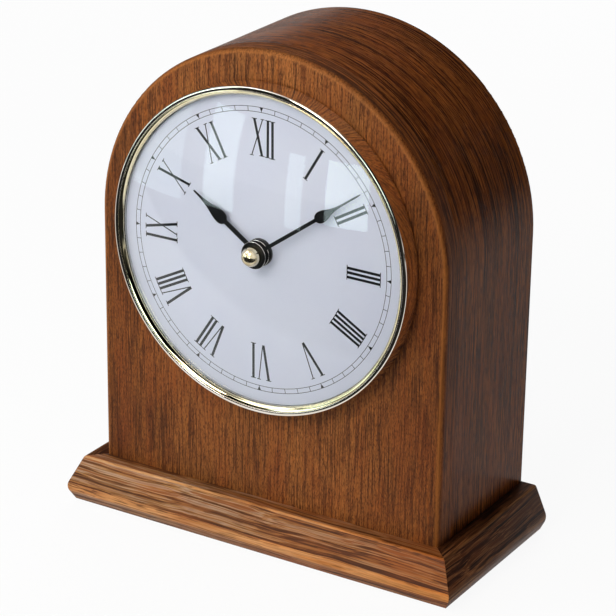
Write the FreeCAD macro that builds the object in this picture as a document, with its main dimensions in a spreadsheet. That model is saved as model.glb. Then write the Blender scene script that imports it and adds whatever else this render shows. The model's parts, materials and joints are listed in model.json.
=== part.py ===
import FreeCAD, Part
import math
import os
import Sketcher

# A wooden arched desk clock, millimetres, +Z up. The origin is on the surface that the clock
# stands on, under the middle of its bounding box. The dial faces -Y and the open back faces +Y.

doc = FreeCAD.newDocument("desk_clock")
sheet = doc.addObject("Spreadsheet::Sheet", "sizes")

lengths = {
    # arched case
    "case_width": 155.0,
    "case_depth": 70.0,
    "case_height": 184.0,
    "front_thickness": 10.0,
    "shell_thickness": 7.0,
    "edge_round": 2.4,
    "rear_round": 0.8,
    "rebate_width": 4.4,
    "rebate_depth": 6.5,
    "back_thickness": 4.0,
    "panel_gap": 0.2,
    "access_radius": 46.0,
    "bottom_thickness": 8.0,
    "block_side": 14.0,
    "block_length": 44.0,
    # plinth of mitred mouldings
    "plinth_height": 19.0,
    "moulding_seat": 12.2,
    "ledge_overhang": 6.4,
    "ledge_round": 1.3,
    "nose_overhang": 12.2,
    "nose_rise": 5.9,
    "nose_round": 4.0,
    "foot_overhang": 9.2,
    "rail_thickness": 14.0,
    "board_thickness": 12.0,
    "felt_radius": 7.0,
    "felt_thickness": 1.0,
    "felt_inset": 9.5,
    # wood screws
    "screw_radius": 1.2,
    "screw_head_radius": 2.1,
    "screw_head_height": 1.4,
    "back_screw_length": 12.0,
    "case_screw_length": 17.0,
    "case_screw_spread": 45.0,
    "case_screw_edge": 12.0,
    "pan_screw_length": 7.0,
    "pan_screw_inset": 3.3,
    "pilot_depth": 0.6,
    # bezel, glass and dial, measured from the clock's axis and forward from the wooden face
    "front_border": 11.8,
    "bezel_wall": 1.0,
    "bezel_draft": 0.4,
    "bezel_rise": 8.85,
    "bezel_round": 0.7,
    "bezel_foot": 0.3,
    "groove_inset": 2.1,
    "groove_width": 0.36,
    "groove_depth": 0.4,
    "lip_inset": 3.8,
    "lip_rise": 7.6,
    "lip_edge": 0.3,
    "lip_belly": 0.3,
    "glass_rise": 18.0,
    "glass_thickness": 1.5,
    "glass_inset": 2.5,
    "dial_rise": 4.9,
    "dial_thickness": 0.8,
    "dial_inset": 0.4,
    "ring_gap": 0.1,
    "pan_sheet": 0.8,
    "pan_slope": 3.0,
    "pan_flange": 9.6,
    "pan_rim_rise": 4.2,
    "pan_hole_radius": 4.2,
    # quartz movement
    "movement_side": 56.0,
    "movement_corner": 3.0,
    "movement_depth": 16.0,
    "movement_wall": 1.2,
    "bay_wall": 1.0,
    "bay_height": 14.9,
    "washer_radius": 8.0,
    "washer_thickness": 0.8,
    "bush_radius": 4.0,
    "bush_rise": 6.5,
    "nut_radius": 5.45,
    "nut_height": 1.5,
    "nut_chamfer": 0.35,
    "running_gap": 0.08,
    "hour_tube_radius": 2.5,
    "hour_tube_wall": 0.75,
    "hour_tube_rise": 7.6,
    "wheel_thickness": 1.2,
    "wheel_spacing": 0.6,
    "pinion_allowance": 0.2,
    "train_distance": 12.0,
    "pivot_radius": 0.6,
    "pivot_length": 2.8,
    "pivot_depth": 0.9,
    "post_gap": 0.8,
    "post_radius": 2.2,
    "stem_radius": 1.5,
    "knob_radius": 7.5,
    "knob_height": 5.0,
    "knob_standoff": 0.4,
    "knob_groove_radius": 0.5,
    "stub_radius": 1.3,
    "stub_length": 2.8,
    # hands and cap
    "hand_sheet": 0.4,
    "hour_disc_radius": 5.3,
    "hour_disc_rise": 7.4,
    "hour_collet_radius": 3.4,
    "hour_collet_height": 0.3,
    "hour_leaf_width": 5.4,
    "hour_shaft_width": 1.9,
    "minute_disc_radius": 5.4,
    "minute_disc_rise": 10.0,
    "minute_collet_radius": 3.2,
    "minute_collet_height": 1.7,
    "minute_tip_drop": 2.8,
    "minute_leaf_width": 4.5,
    "minute_shaft_width": 1.5,
    "cap_radius": 3.8,
    "cap_height": 4.8,
    "cap_round": 3.5,
    # electric parts in the movement
    "battery_radius": 7.2,
    "battery_length": 50.0,
    "nub_radius": 2.7,
    "nub_height": 1.2,
    "battery_chamfer": 0.5,
    "contact_sheet": 0.4,
    "contact_width": 8.0,
    "contact_height": 9.0,
    "contact_gap": 0.15,
    "coil_radius": 4.0,
    "coil_core_radius": 3.2,
    "coil_flange": 1.0,
    "coil_length": 26.0,
    "coil_offset": 19.0,
    "circuit_width": 13.0,
    "circuit_height": 33.0,
    "circuit_sheet": 1.0,
    "crystal_radius": 1.5,
    "crystal_length": 6.0,
    # how far a cut runs past what it cuts
    "overrun": 1.0,
}

for row, alias in enumerate(lengths, start=1):
    sheet.set(f"A{row}", alias)
    sheet.set(f"B{row}", str(lengths[alias]))
    sheet.setAlias(f"B{row}", alias)
doc.recompute()

hour_hand_angle = 304.5
minute_hand_angle = 54.0
hour_length_share = 0.5642
hour_root_share = 0.5014
minute_length_share = 0.8878
minute_root_share = 0.5897
movement_hole_share = 0.75
knob_flutes = 24
pressure_angle = 20.0
same_place = 1e-6
back_screw_leg_shares = (0.12, 0.88)
back_screw_arch_angles = (50.0, 130.0)
pan_screw_angles = (90.0, 210.0, 330.0)


class Size:
    # A length worked out from the sheet, with the expression that gives it.
    def __init__(self, value, text):
        self.value = value
        self.text = text

    def __add__(self, other):
        return combine(self, "+", other)

    def __sub__(self, other):
        return combine(self, "-", other)

    def __mul__(self, other):
        return combine(self, "*", other)

    def __truediv__(self, other):
        return combine(self, "/", other)

    def __neg__(self):
        return self * -1


def combine(left, sign, right):
    second = right.value if isinstance(right, Size) else float(right)
    words = right.text if isinstance(right, Size) else f"({second!r})"
    results = {"+": left.value + second, "-": left.value - second, "*": left.value * second}
    if sign == "/":
        results["/"] = left.value / second
    return Size(results[sign], f"({left.text} {sign} {words})")


class Sheet:
    # The sheet's lengths under their own names.
    pass


mm = Sheet()
for alias in lengths:
    setattr(mm, alias, Size(float(sheet.get(alias)), f"sizes.{alias}"))

# Places that many pieces share.
half_width = mm.case_width / 2
face_y = (mm.glass_rise - mm.case_depth) / 2
rear_y = face_y + mm.case_depth
ledge_z = mm.felt_thickness + mm.plinth_height
dial_z = ledge_z + mm.case_height - half_width
inner_half_width = half_width - mm.shell_thickness
shell_front_y = face_y + mm.front_thickness
rebate_y = rear_y - mm.rebate_depth
back_screw_line = half_width - mm.shell_thickness + mm.rebate_width / 2
movement_hole_radius = mm.movement_side * movement_hole_share

# The dial head's rings, each set in from the one outside it.
bezel_radius = half_width - mm.front_border
bezel_inside = bezel_radius - mm.bezel_wall
groove_radius = bezel_radius - mm.groove_inset
lip_radius = bezel_radius - mm.lip_inset
glass_radius = bezel_radius - mm.glass_inset
dial_radius = lip_radius - mm.dial_inset
pan_rim_radius = bezel_inside - mm.ring_gap
pan_foot_radius = pan_rim_radius - mm.pan_flange
pan_plateau_radius = pan_foot_radius - mm.pan_slope
pan_screw_circle = pan_foot_radius + mm.pan_screw_inset

# Places along the clock's axis, as distances in front of the wooden face.
plateau_rise = mm.dial_rise - mm.dial_thickness
movement_rise = plateau_rise - mm.pan_sheet - mm.washer_thickness
cover_back_rise = movement_rise - mm.movement_wall
movement_back_rise = movement_rise - mm.movement_depth
hour_wheel_rise = cover_back_rise - mm.washer_thickness / 2
motion_wheel_rise = hour_wheel_rise - mm.wheel_thickness - mm.wheel_spacing
motion_wheel_back = motion_wheel_rise - mm.wheel_thickness
post_rise = motion_wheel_back - mm.post_gap

# The motion works: a minute pinion turns a motion wheel, whose own pinion turns the hour wheel.
minute_pinion_teeth = 12
motion_wheel_teeth = 36
motion_pinion_teeth = 10
hour_wheel_teeth = 40
setting_pinion_teeth = 12
motion_direction = 45.0
setting_direction = 90.0
first_module = mm.train_distance * 2 / (minute_pinion_teeth + motion_wheel_teeth)
second_module = mm.train_distance * 2 / (motion_pinion_teeth + hour_wheel_teeth)


def turned(distance, degrees):
    angle = math.radians(degrees)
    return distance * math.cos(angle), distance * math.sin(angle)


motion_x, motion_z = turned(mm.train_distance, motion_direction)
setting_step_x, setting_step_z = turned(mm.train_distance, setting_direction)
setting_x = motion_x + setting_step_x
setting_z = motion_z + setting_step_z


def bind(item, place, size):
    item.setExpression(place, size.text)


def new_body(label, x=None, y=None, z=None):
    body = doc.addObject("PartDesign::Body", label)
    body.Label = label
    for axis, size in (("x", x), ("y", y), ("z", z)):
        if size is not None:
            bind(body, f"Placement.Base.{axis}", size)
    return body


def new_sketch(body, name, role, offset=None):
    sketch = body.newObject("Sketcher::SketchObject", name)
    plane = [item for item in body.Origin.OriginFeatures if item.Role == role][0]
    sketch.AttachmentSupport = (plane, [""])
    sketch.MapMode = "FlatFace"
    if offset is not None:
        bind(sketch, "AttachmentOffset.Base.z", offset)
    return sketch


def number(size):
    return size.value if isinstance(size, Size) else 0.0


def pin(rules, item, end, u, v):
    # Holds one point of a sketch at its distances from the sketch's two axes.
    for kind, size, axis in (("DistanceX", u, -2), ("DistanceY", v, -1)):
        if isinstance(size, Size):
            rules.append((Sketcher.Constraint(kind, -1, 1, item, end, size.value), size.text))
        else:
            rules.append((Sketcher.Constraint("PointOnObject", item, end, axis), None))


def add_rules(sketch, rules):
    first = sketch.ConstraintCount
    sketch.addConstraint([rule for rule, text in rules])
    for count, (rule, text) in enumerate(rules):
        if text:
            sketch.setExpression(f"Constraints[{first + count}]", text)


def corner_arc(before, corner, after, radius):
    # The arc that rounds a corner: its two ends and its centre.
    back = (before - corner).normalize()
    ahead = (after - corner).normalize()
    half = math.acos(back.dot(ahead)) / 2
    reach = radius / math.tan(half)
    middle = (back + ahead).normalize()
    return corner + back * reach, corner + ahead * reach, corner + middle * (radius / math.sin(half))


def draw_outline(sketch, corners):
    # A closed outline of straight lines. A corner with a third size is rounded by that radius.
    points = [FreeCAD.Vector(number(c[0]), number(c[1]), 0) for c in corners]
    count = len(points)
    ends = [(point, point) for point in points]
    arcs = {}
    for i, corner in enumerate(corners):
        if len(corner) == 3:
            following = points[(i + 1) % count]
            start, end, centre = corner_arc(points[i - 1], points[i], following, corner[2].value)
            ends[i] = (start, end)
            arcs[i] = (start, end, centre)
    lines = []
    for i in range(count):
        lines.append(sketch.addGeometry(Part.LineSegment(ends[i][1], ends[(i + 1) % count][0])))
    rules = []
    for i, corner in enumerate(corners):
        before = lines[i - 1]
        after = lines[i]
        if i not in arcs:
            rules.append((Sketcher.Constraint("Coincident", before, 2, after, 1), None))
            pin(rules, after, 1, corner[0], corner[1])
            continue
        start, end, centre = arcs[i]
        angles = [math.atan2(p.y - centre.y, p.x - centre.x) for p in (start, end)]
        forward = (angles[1] - angles[0]) % (2 * math.pi) < math.pi
        if not forward:
            angles.reverse()
        circle = Part.Circle(centre, FreeCAD.Vector(0, 0, 1), corner[2].value)
        arc = sketch.addGeometry(Part.ArcOfCircle(circle, angles[0], angles[1]))
        first, last = (1, 2) if forward else (2, 1)
        rules.append((Sketcher.Constraint("Tangent", before, 2, arc, first), None))
        rules.append((Sketcher.Constraint("Tangent", arc, last, after, 1), None))
        rules.append((Sketcher.Constraint("Radius", arc, corner[2].value), corner[2].text))
        point = sketch.addGeometry(Part.Point(points[i]), True)
        rules.append((Sketcher.Constraint("PointOnObject", point, 1, before), None))
        rules.append((Sketcher.Constraint("PointOnObject", point, 1, after), None))
        pin(rules, point, 1, corner[0], corner[1])
    add_rules(sketch, rules)


def draw_circle(sketch, u, v, radius):
    centre = FreeCAD.Vector(number(u), number(v), 0)
    circle = sketch.addGeometry(Part.Circle(centre, FreeCAD.Vector(0, 0, 1), radius.value))
    rules = [(Sketcher.Constraint("Radius", circle, radius.value), radius.text)]
    pin(rules, circle, 3, u, v)
    add_rules(sketch, rules)


def draw_arch(sketch, half, bottom, centre):
    # Two upright sides under a half circle.
    right = FreeCAD.Vector(half.value, bottom.value, 0)
    right_top = FreeCAD.Vector(half.value, centre.value, 0)
    left_top = FreeCAD.Vector(-half.value, centre.value, 0)
    left = FreeCAD.Vector(-half.value, bottom.value, 0)
    base = sketch.addGeometry(Part.LineSegment(left, right))
    rise = sketch.addGeometry(Part.LineSegment(right, right_top))
    circle = Part.Circle(FreeCAD.Vector(0, centre.value, 0), FreeCAD.Vector(0, 0, 1), half.value)
    arc = sketch.addGeometry(Part.ArcOfCircle(circle, 0, math.pi))
    fall = sketch.addGeometry(Part.LineSegment(left_top, left))
    rules = [
        (Sketcher.Constraint("Coincident", base, 2, rise, 1), None),
        (Sketcher.Constraint("Coincident", fall, 2, base, 1), None),
        (Sketcher.Constraint("Horizontal", base), None),
        (Sketcher.Constraint("Vertical", rise), None),
        (Sketcher.Constraint("Vertical", fall), None),
        (Sketcher.Constraint("Tangent", rise, 2, arc, 1), None),
        (Sketcher.Constraint("Tangent", arc, 2, fall, 1), None),
    ]
    pin(rules, rise, 1, half, bottom)
    pin(rules, arc, 3, 0, centre)
    add_rules(sketch, rules)


def pad(body, sketch, name, length, reverse=False, middle=False):
    feature = body.newObject("PartDesign::Pad", name)
    feature.Profile = sketch
    feature.Reversed = reverse
    if middle:
        feature.SideType = "Symmetric"
    bind(feature, "Length", length)
    doc.recompute()
    return feature


def cut(body, sketch, name, length=None, reverse=True, both=False):
    # A pocket, through everything unless it has a length. It has to take material away.
    before = body.Tip.Shape.Volume
    feature = body.newObject("PartDesign::Pocket", name)
    feature.Profile = sketch
    feature.Reversed = reverse
    if both:
        feature.SideType = "Symmetric"
    if length is None:
        feature.Type = "ThroughAll"
    else:
        bind(feature, "Length", length)
    doc.recompute()
    if feature.Shape.Volume >= before:
        raise RuntimeError(f"{body.Label}: {name} cuts nothing")
    return feature


def turn(body, corners):
    # A ring or disc about the clock's axis, from corners given as radius and rise.
    sketch = new_sketch(body, "profile", "XY_Plane")
    draw_outline(sketch, [(radius, rise_to_depth(rise), *rounding) for radius, rise, *rounding in corners])
    feature = body.newObject("PartDesign::Revolution", "turned")
    feature.Profile = sketch
    feature.ReferenceAxis = (sketch, ["V_Axis"])
    feature.Angle = 360
    doc.recompute()
    return feature


def rise_to_depth(rise):
    return -rise if isinstance(rise, Size) else 0


def axis_body(label):
    return new_body(label, y=face_y, z=dial_z)


def round_edges(body, feature, name, radius, keep):
    edges = [f"Edge{i}" for i, edge in enumerate(feature.Shape.Edges, start=1) if keep(edge)]
    fillet = body.newObject("PartDesign::Fillet", name)
    fillet.Base = (feature, edges)
    bind(fillet, "Radius", radius)
    doc.recompute()
    return fillet


def in_plane(edge, plane_y):
    box = edge.BoundBox
    return abs(box.YMin - plane_y) < same_place and abs(box.YMax - plane_y) < same_place


def back_screw_places():
    leg = dial_z - ledge_z
    places = []
    for side in (-1, 1):
        for share in back_screw_leg_shares:
            places.append((back_screw_line * side, ledge_z + leg * share))
    for degrees in back_screw_arch_angles:
        x, z = turned(back_screw_line, degrees)
        places.append((x, dial_z + z))
    return places


def case_screw_places():
    front = shell_front_y + mm.case_screw_edge
    back = rebate_y - mm.case_screw_edge
    return [(mm.case_screw_spread * side, y) for side in (-1, 1) for y in (front, back)]


def make_front_panel():
    body = new_body("front_panel", y=face_y)
    outline = new_sketch(body, "arch", "XZ_Plane")
    draw_arch(outline, half_width, ledge_z, dial_z)
    pad(body, outline, "board", mm.front_thickness, reverse=True)
    hole = new_sketch(body, "hole", "XZ_Plane")
    draw_circle(hole, 0, dial_z, movement_hole_radius)
    cut(body, hole, "movement_hole", reverse=False)
    pilots = new_sketch(body, "pilots", "XZ_Plane")
    for degrees in pan_screw_angles:
        x, z = turned(pan_screw_circle, degrees)
        draw_circle(pilots, x, dial_z + z, mm.screw_radius)
    cut(body, pilots, "pilot_holes", mm.pan_screw_length + mm.pilot_depth, reverse=False)
    hole_reach = movement_hole_radius.value + mm.overrun.value

    def outer_front(edge):
        box = edge.BoundBox
        low = box.ZMax < ledge_z.value + mm.overrun.value
        inner = max(box.XMax, -box.XMin) < pan_screw_circle.value + mm.overrun.value * 2
        return in_plane(edge, 0) and not low and not inner and box.ZLength > hole_reach

    round_edges(body, body.Tip, "rounded_edge", mm.edge_round, outer_front)


def make_case_shell():
    body = new_body("case_shell", y=rear_y)
    outer = new_sketch(body, "outer_arch", "XZ_Plane")
    draw_arch(outer, half_width, ledge_z, dial_z)
    pad(body, outer, "bent_board", mm.case_depth - mm.front_thickness)
    inner = new_sketch(body, "inner_arch", "XZ_Plane")
    draw_arch(inner, inner_half_width, ledge_z - mm.overrun, dial_z)
    cut(body, inner, "hollow")
    rebate = new_sketch(body, "rebate_arch", "XZ_Plane")
    draw_arch(rebate, inner_half_width + mm.rebate_width, ledge_z - mm.overrun, dial_z)
    cut(body, rebate, "rebate", mm.rebate_depth)
    pilots = new_sketch(body, "pilots", "XZ_Plane")
    for x, z in back_screw_places():
        draw_circle(pilots, x, z, mm.screw_radius)
    reach = mm.back_screw_length + mm.rebate_depth - mm.back_thickness + mm.pilot_depth
    cut(body, pilots, "pilot_holes", reach)

    def outer_rear(edge):
        box = edge.BoundBox
        outer = max(box.XMax, -box.XMin) > half_width.value - mm.overrun.value / 2
        return in_plane(edge, 0) and outer and box.ZLength > mm.overrun.value

    round_edges(body, body.Tip, "rear_edge", mm.rear_round, outer_rear)


def make_back_board():
    body = new_body("back_board", y=rebate_y)
    outline = new_sketch(body, "arch", "XZ_Plane")
    reach = inner_half_width + mm.rebate_width - mm.panel_gap
    draw_arch(outline, reach, ledge_z + mm.panel_gap, dial_z)
    pad(body, outline, "board", mm.back_thickness, reverse=True)
    holes = new_sketch(body, "holes", "XZ_Plane")
    draw_circle(holes, 0, dial_z, mm.access_radius)
    for x, z in back_screw_places():
        draw_circle(holes, x, z, mm.screw_radius)
    cut(body, holes, "access_and_screws", reverse=False)


def rectangle(left, right, low, high):
    return [(left, low), (right, low), (right, high), (left, high)]


def make_bottom_board():
    body = new_body("bottom_board", z=ledge_z)
    outline = new_sketch(body, "outline", "XY_Plane")
    draw_outline(outline, rectangle(-inner_half_width, inner_half_width, shell_front_y, rebate_y))
    pad(body, outline, "board", mm.bottom_thickness)
    pilots = new_sketch(body, "pilots", "XY_Plane")
    for x, y in case_screw_places():
        draw_circle(pilots, x, y, mm.screw_radius)
    cut(body, pilots, "pilot_holes", mm.case_screw_length - mm.board_thickness + mm.pilot_depth)


def make_glue_block(label, side):
    body = new_body(label, z=ledge_z + mm.bottom_thickness)
    outline = new_sketch(body, "outline", "XY_Plane")
    wall = inner_half_width * side
    corners = [
        (wall, shell_front_y),
        (wall - mm.block_side * side, shell_front_y),
        (wall, shell_front_y + mm.block_side),
    ]
    draw_outline(outline, corners)
    pad(body, outline, "block", mm.block_length)


def moulding_corners(across, outward):
    # The moulding's section: a flat ledge, a long slope, a rounded nose and an undercut foot.
    low = mm.felt_thickness
    inner = across - mm.moulding_seat * outward
    return [
        (inner, low),
        (across + mm.foot_overhang * outward, low),
        (across + mm.nose_overhang * outward, low + mm.nose_rise, mm.nose_round),
        (across + mm.ledge_overhang * outward, ledge_z, mm.ledge_round),
        (inner, ledge_z),
    ]


def make_plinth_front():
    body = new_body("plinth_front")
    section = new_sketch(body, "section", "YZ_Plane")
    draw_outline(section, moulding_corners(face_y, -1))
    pad(body, section, "moulding", (half_width + mm.nose_overhang) * 2, middle=True)
    mitres = new_sketch(body, "mitres", "XY_Plane")
    past = mm.nose_overhang + mm.overrun
    inner = mm.moulding_seat + mm.overrun
    for side in (-1, 1):
        corners = [
            ((half_width + past) * side, face_y - past),
            ((half_width + past) * side, face_y + inner),
            ((half_width - inner) * side, face_y + inner),
        ]
        draw_outline(mitres, corners)
    cut(body, mitres, "mitre_cuts", both=True)


def make_plinth_side(label, side):
    body = new_body(label, y=rear_y)
    section = new_sketch(body, "section", "XZ_Plane")
    draw_outline(section, moulding_corners(half_width * side, side))
    pad(body, section, "moulding", mm.case_depth + mm.nose_overhang)
    mitre = new_sketch(body, "mitre", "XY_Plane")
    past = mm.nose_overhang + mm.overrun
    inner = mm.moulding_seat + mm.overrun
    corners = [
        ((half_width + past) * side, -mm.case_depth - past),
        ((half_width - inner) * side, -mm.case_depth - past),
        ((half_width - inner) * side, -mm.case_depth + inner),
    ]
    draw_outline(mitre, corners)
    cut(body, mitre, "mitre_cut", both=True)


def make_plinth_rail():
    body = new_body("plinth_rail", z=mm.felt_thickness)
    outline = new_sketch(body, "outline", "XY_Plane")
    reach = half_width - mm.moulding_seat
    draw_outline(outline, rectangle(-reach, reach, rear_y - mm.rail_thickness, rear_y))
    pad(body, outline, "rail", mm.plinth_height)


def make_plinth_board():
    body = new_body("plinth_board", z=ledge_z)
    outline = new_sketch(body, "outline", "XY_Plane")
    reach = half_width - mm.moulding_seat
    front = face_y + mm.moulding_seat
    draw_outline(outline, rectangle(-reach, reach, front, rear_y - mm.rail_thickness))
    pad(body, outline, "board", mm.board_thickness, reverse=True)
    holes = new_sketch(body, "holes", "XY_Plane")
    for x, y in case_screw_places():
        draw_circle(holes, x, y, mm.screw_radius)
    cut(body, holes, "screw_holes", both=True)


def make_felt_pads():
    pads = []
    reach = half_width + mm.foot_overhang - mm.felt_inset
    rows = (face_y - mm.foot_overhang + mm.felt_inset, rear_y - mm.felt_inset)
    for side in (-1, 1):
        for y in rows:
            disc = doc.addObject("Part::Cylinder", "felt_disc")
            bind(disc, "Radius", mm.felt_radius)
            bind(disc, "Height", mm.felt_thickness)
            bind(disc, "Placement.Base.x", reach * side)
            bind(disc, "Placement.Base.y", y)
            pads.append(disc)
    group = doc.addObject("Part::MultiFuse", "felt_pads")
    group.Label = "felt_pads"
    group.Shapes = pads


def make_screws(label, places, axis, length):
    # Round-headed wood screws, all alike. Each lies with its head's seat at its place, and axis
    # points from the seat to the tip.
    solids = []
    for place in places:
        shank = Part.makeCylinder(mm.screw_radius.value, length.value, place, axis)
        head = Part.makeCylinder(mm.screw_head_radius.value, mm.screw_head_height.value, place, -axis)
        crown = min(head.Edges, key=lambda edge: edge.CenterOfMass.dot(axis))
        head = head.makeFillet(mm.screw_head_height.value / 2, [crown])
        solids.append(shank.fuse(head).removeSplitter())
    group = doc.addObject("Part::Feature", label)
    group.Label = label
    group.Shape = Part.makeCompound(solids)
    group.Placement = FreeCAD.Placement()


def make_all_screws():
    back_y = (rebate_y + mm.back_thickness).value
    places = [FreeCAD.Vector(x.value, back_y, z.value) for x, z in back_screw_places()]
    make_screws("back_screws", places, FreeCAD.Vector(0, -1, 0), mm.back_screw_length)
    under = (ledge_z - mm.board_thickness).value
    places = [FreeCAD.Vector(x.value, y.value, under) for x, y in case_screw_places()]
    make_screws("case_screws", places, FreeCAD.Vector(0, 0, 1), mm.case_screw_length)
    places = []
    for degrees in pan_screw_angles:
        x, z = turned(pan_screw_circle, degrees)
        places.append(FreeCAD.Vector(x.value, (face_y - mm.pan_sheet).value, (dial_z + z).value))
    make_screws("pan_screws", places, FreeCAD.Vector(0, 1, 0), mm.pan_screw_length)


def make_bezel():
    # A pressed drum with a rolled front: an outer lip, a fine groove and a belly that falls inward.
    body = axis_body("bezel")
    throat = mm.bezel_rise - mm.bezel_wall
    half_groove = mm.groove_width / 2
    belly_radius = (groove_radius - half_groove + lip_radius) / 2
    belly_rise = (mm.bezel_rise + mm.lip_rise) / 2 + mm.lip_belly
    corners = [
        (bezel_inside, 0),
        (bezel_radius - mm.bezel_foot, 0),
        (bezel_radius, mm.bezel_foot),
        (bezel_radius - mm.bezel_draft, mm.bezel_rise, mm.bezel_round),
        (groove_radius + half_groove, mm.bezel_rise),
        (groove_radius, mm.bezel_rise - mm.groove_depth),
        (groove_radius - half_groove, mm.bezel_rise),
        (belly_radius, belly_rise),
        (lip_radius, mm.lip_rise),
        (lip_radius, mm.lip_rise - mm.lip_edge),
        (groove_radius - half_groove, throat),
        (bezel_inside, throat),
    ]
    turn(body, corners)


def make_glass():
    # A domed glass of even thickness, whose front just reaches the bezel's inner edge.
    sag = mm.glass_rise - mm.lip_rise + mm.lip_edge
    sphere_radius = (lip_radius * lip_radius + sag * sag) / (sag * 2)
    centre_y = face_y - mm.glass_rise + sphere_radius
    shells = []
    spheres = (("dome_outside", sphere_radius), ("dome_inside", sphere_radius - mm.glass_thickness))
    for name, radius in spheres:
        ball = doc.addObject("Part::Sphere", name)
        bind(ball, "Radius", radius)
        ball.Placement = FreeCAD.Placement(FreeCAD.Vector(), FreeCAD.Rotation(FreeCAD.Vector(1, 0, 0), 90))
        bind(ball, "Placement.Base.y", centre_y)
        bind(ball, "Placement.Base.z", dial_z)
        shells.append(ball)
    skin = doc.addObject("Part::Cut", "dome_skin")
    skin.Base = shells[0]
    skin.Tool = shells[1]
    blank = doc.addObject("Part::Cylinder", "glass_blank")
    bind(blank, "Radius", glass_radius)
    bind(blank, "Height", mm.glass_rise + mm.overrun)
    blank.Placement = FreeCAD.Placement(FreeCAD.Vector(), FreeCAD.Rotation(FreeCAD.Vector(1, 0, 0), 90))
    bind(blank, "Placement.Base.y", face_y)
    bind(blank, "Placement.Base.z", dial_z)
    glass = doc.addObject("Part::Common", "glass")
    glass.Label = "glass"
    glass.Base = skin
    glass.Tool = blank


def glass_back_rise(radius):
    # How far forward the back of the glass stands at a radius from the axis.
    sag = mm.glass_rise - mm.lip_rise + mm.lip_edge
    sphere = (lip_radius * lip_radius + sag * sag) / (sag * 2)
    inner = sphere - mm.glass_thickness
    root = Size(
        math.sqrt(inner.value ** 2 - radius.value ** 2),
        f"sqrt({inner.text} * {inner.text} - {radius.text} * {radius.text})",
    )
    return mm.glass_rise - sphere + root


def make_glass_ring():
    # The bright ring that holds the glass up against the bezel, round the edge of the dial.
    body = axis_body("glass_ring")
    inside = dial_radius + mm.ring_gap
    outside = pan_rim_radius - mm.pan_sheet - mm.ring_gap
    seat = glass_back_rise(glass_radius)
    corners = [
        (inside, mm.pan_sheet),
        (outside, mm.pan_sheet),
        (outside, seat),
        (glass_radius, seat),
        (inside, glass_back_rise(inside)),
    ]
    turn(body, corners)


def make_dial_plate():
    body = axis_body("dial_plate")
    back = mm.dial_rise - mm.dial_thickness
    corners = [
        (mm.pan_hole_radius, back),
        (dial_radius, back),
        (dial_radius, mm.dial_rise),
        (mm.pan_hole_radius, mm.dial_rise),
    ]
    turn(body, corners)


def make_dial_pan():
    # A pressed sheet pan: a raised middle that carries dial and movement, and a flanged rim.
    body = axis_body("dial_pan")
    sheet_gap = mm.pan_sheet
    corners = [
        (mm.pan_hole_radius, plateau_rise - sheet_gap),
        (pan_plateau_radius - sheet_gap, plateau_rise - sheet_gap),
        (pan_foot_radius - sheet_gap, 0),
        (pan_rim_radius, 0),
        (pan_rim_radius, mm.pan_rim_rise),
        (pan_rim_radius - sheet_gap, mm.pan_rim_rise),
        (pan_rim_radius - sheet_gap, sheet_gap),
        (pan_foot_radius, sheet_gap),
        (pan_plateau_radius, plateau_rise),
        (mm.pan_hole_radius, plateau_rise),
    ]
    turn(body, corners)
    holes = new_sketch(body, "screw_holes", "XZ_Plane")
    for degrees in pan_screw_angles:
        x, z = turned(pan_screw_circle, degrees)
        draw_circle(holes, x, z, mm.screw_radius)
    cut(body, holes, "screw_hole_cut", both=True)


def make_washer_nut_bush():
    washer = axis_body("rubber_washer")
    front = plateau_rise - mm.pan_sheet
    inside = mm.bush_radius + mm.ring_gap
    turn(washer, [
        (inside, movement_rise),
        (mm.washer_radius, movement_rise),
        (mm.washer_radius, front),
        (inside, front),
    ])
    nut = axis_body("fixing_nut")
    nut_front = mm.dial_rise + mm.nut_height
    turn(nut, [
        (mm.bush_radius, mm.dial_rise),
        (mm.nut_radius, mm.dial_rise),
        (mm.nut_radius, nut_front - mm.nut_chamfer),
        (mm.nut_radius - mm.nut_chamfer, nut_front),
        (mm.bush_radius, nut_front),
    ])
    bush = axis_body("threaded_bush")
    bore = mm.hour_tube_radius + mm.running_gap
    turn(bush, [
        (bore, cover_back_rise),
        (mm.bush_radius, cover_back_rise),
        (mm.bush_radius, mm.bush_rise),
        (bore, mm.bush_rise),
    ])


def movement_square(sketch):
    half = mm.movement_side / 2
    corner = mm.movement_corner
    draw_outline(sketch, [
        (-half, -half, corner),
        (half, -half, corner),
        (half, half, corner),
        (-half, half, corner),
    ])


def make_movement_cover():
    body = new_body("movement_cover", y=face_y - cover_back_rise, z=dial_z)
    outline = new_sketch(body, "outline", "XZ_Plane")
    movement_square(outline)
    pad(body, outline, "plate", mm.movement_wall)
    bore = new_sketch(body, "bore", "XZ_Plane")
    draw_circle(bore, 0, 0, mm.bush_radius)
    cut(body, bore, "bush_hole")
    seats = new_sketch(body, "seats", "XZ_Plane")
    for x, z in ((motion_x, motion_z), (setting_x, setting_z)):
        draw_circle(seats, x, z, mm.pivot_radius + mm.running_gap)
    cut(body, seats, "pivot_seats", mm.pivot_depth)


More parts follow.
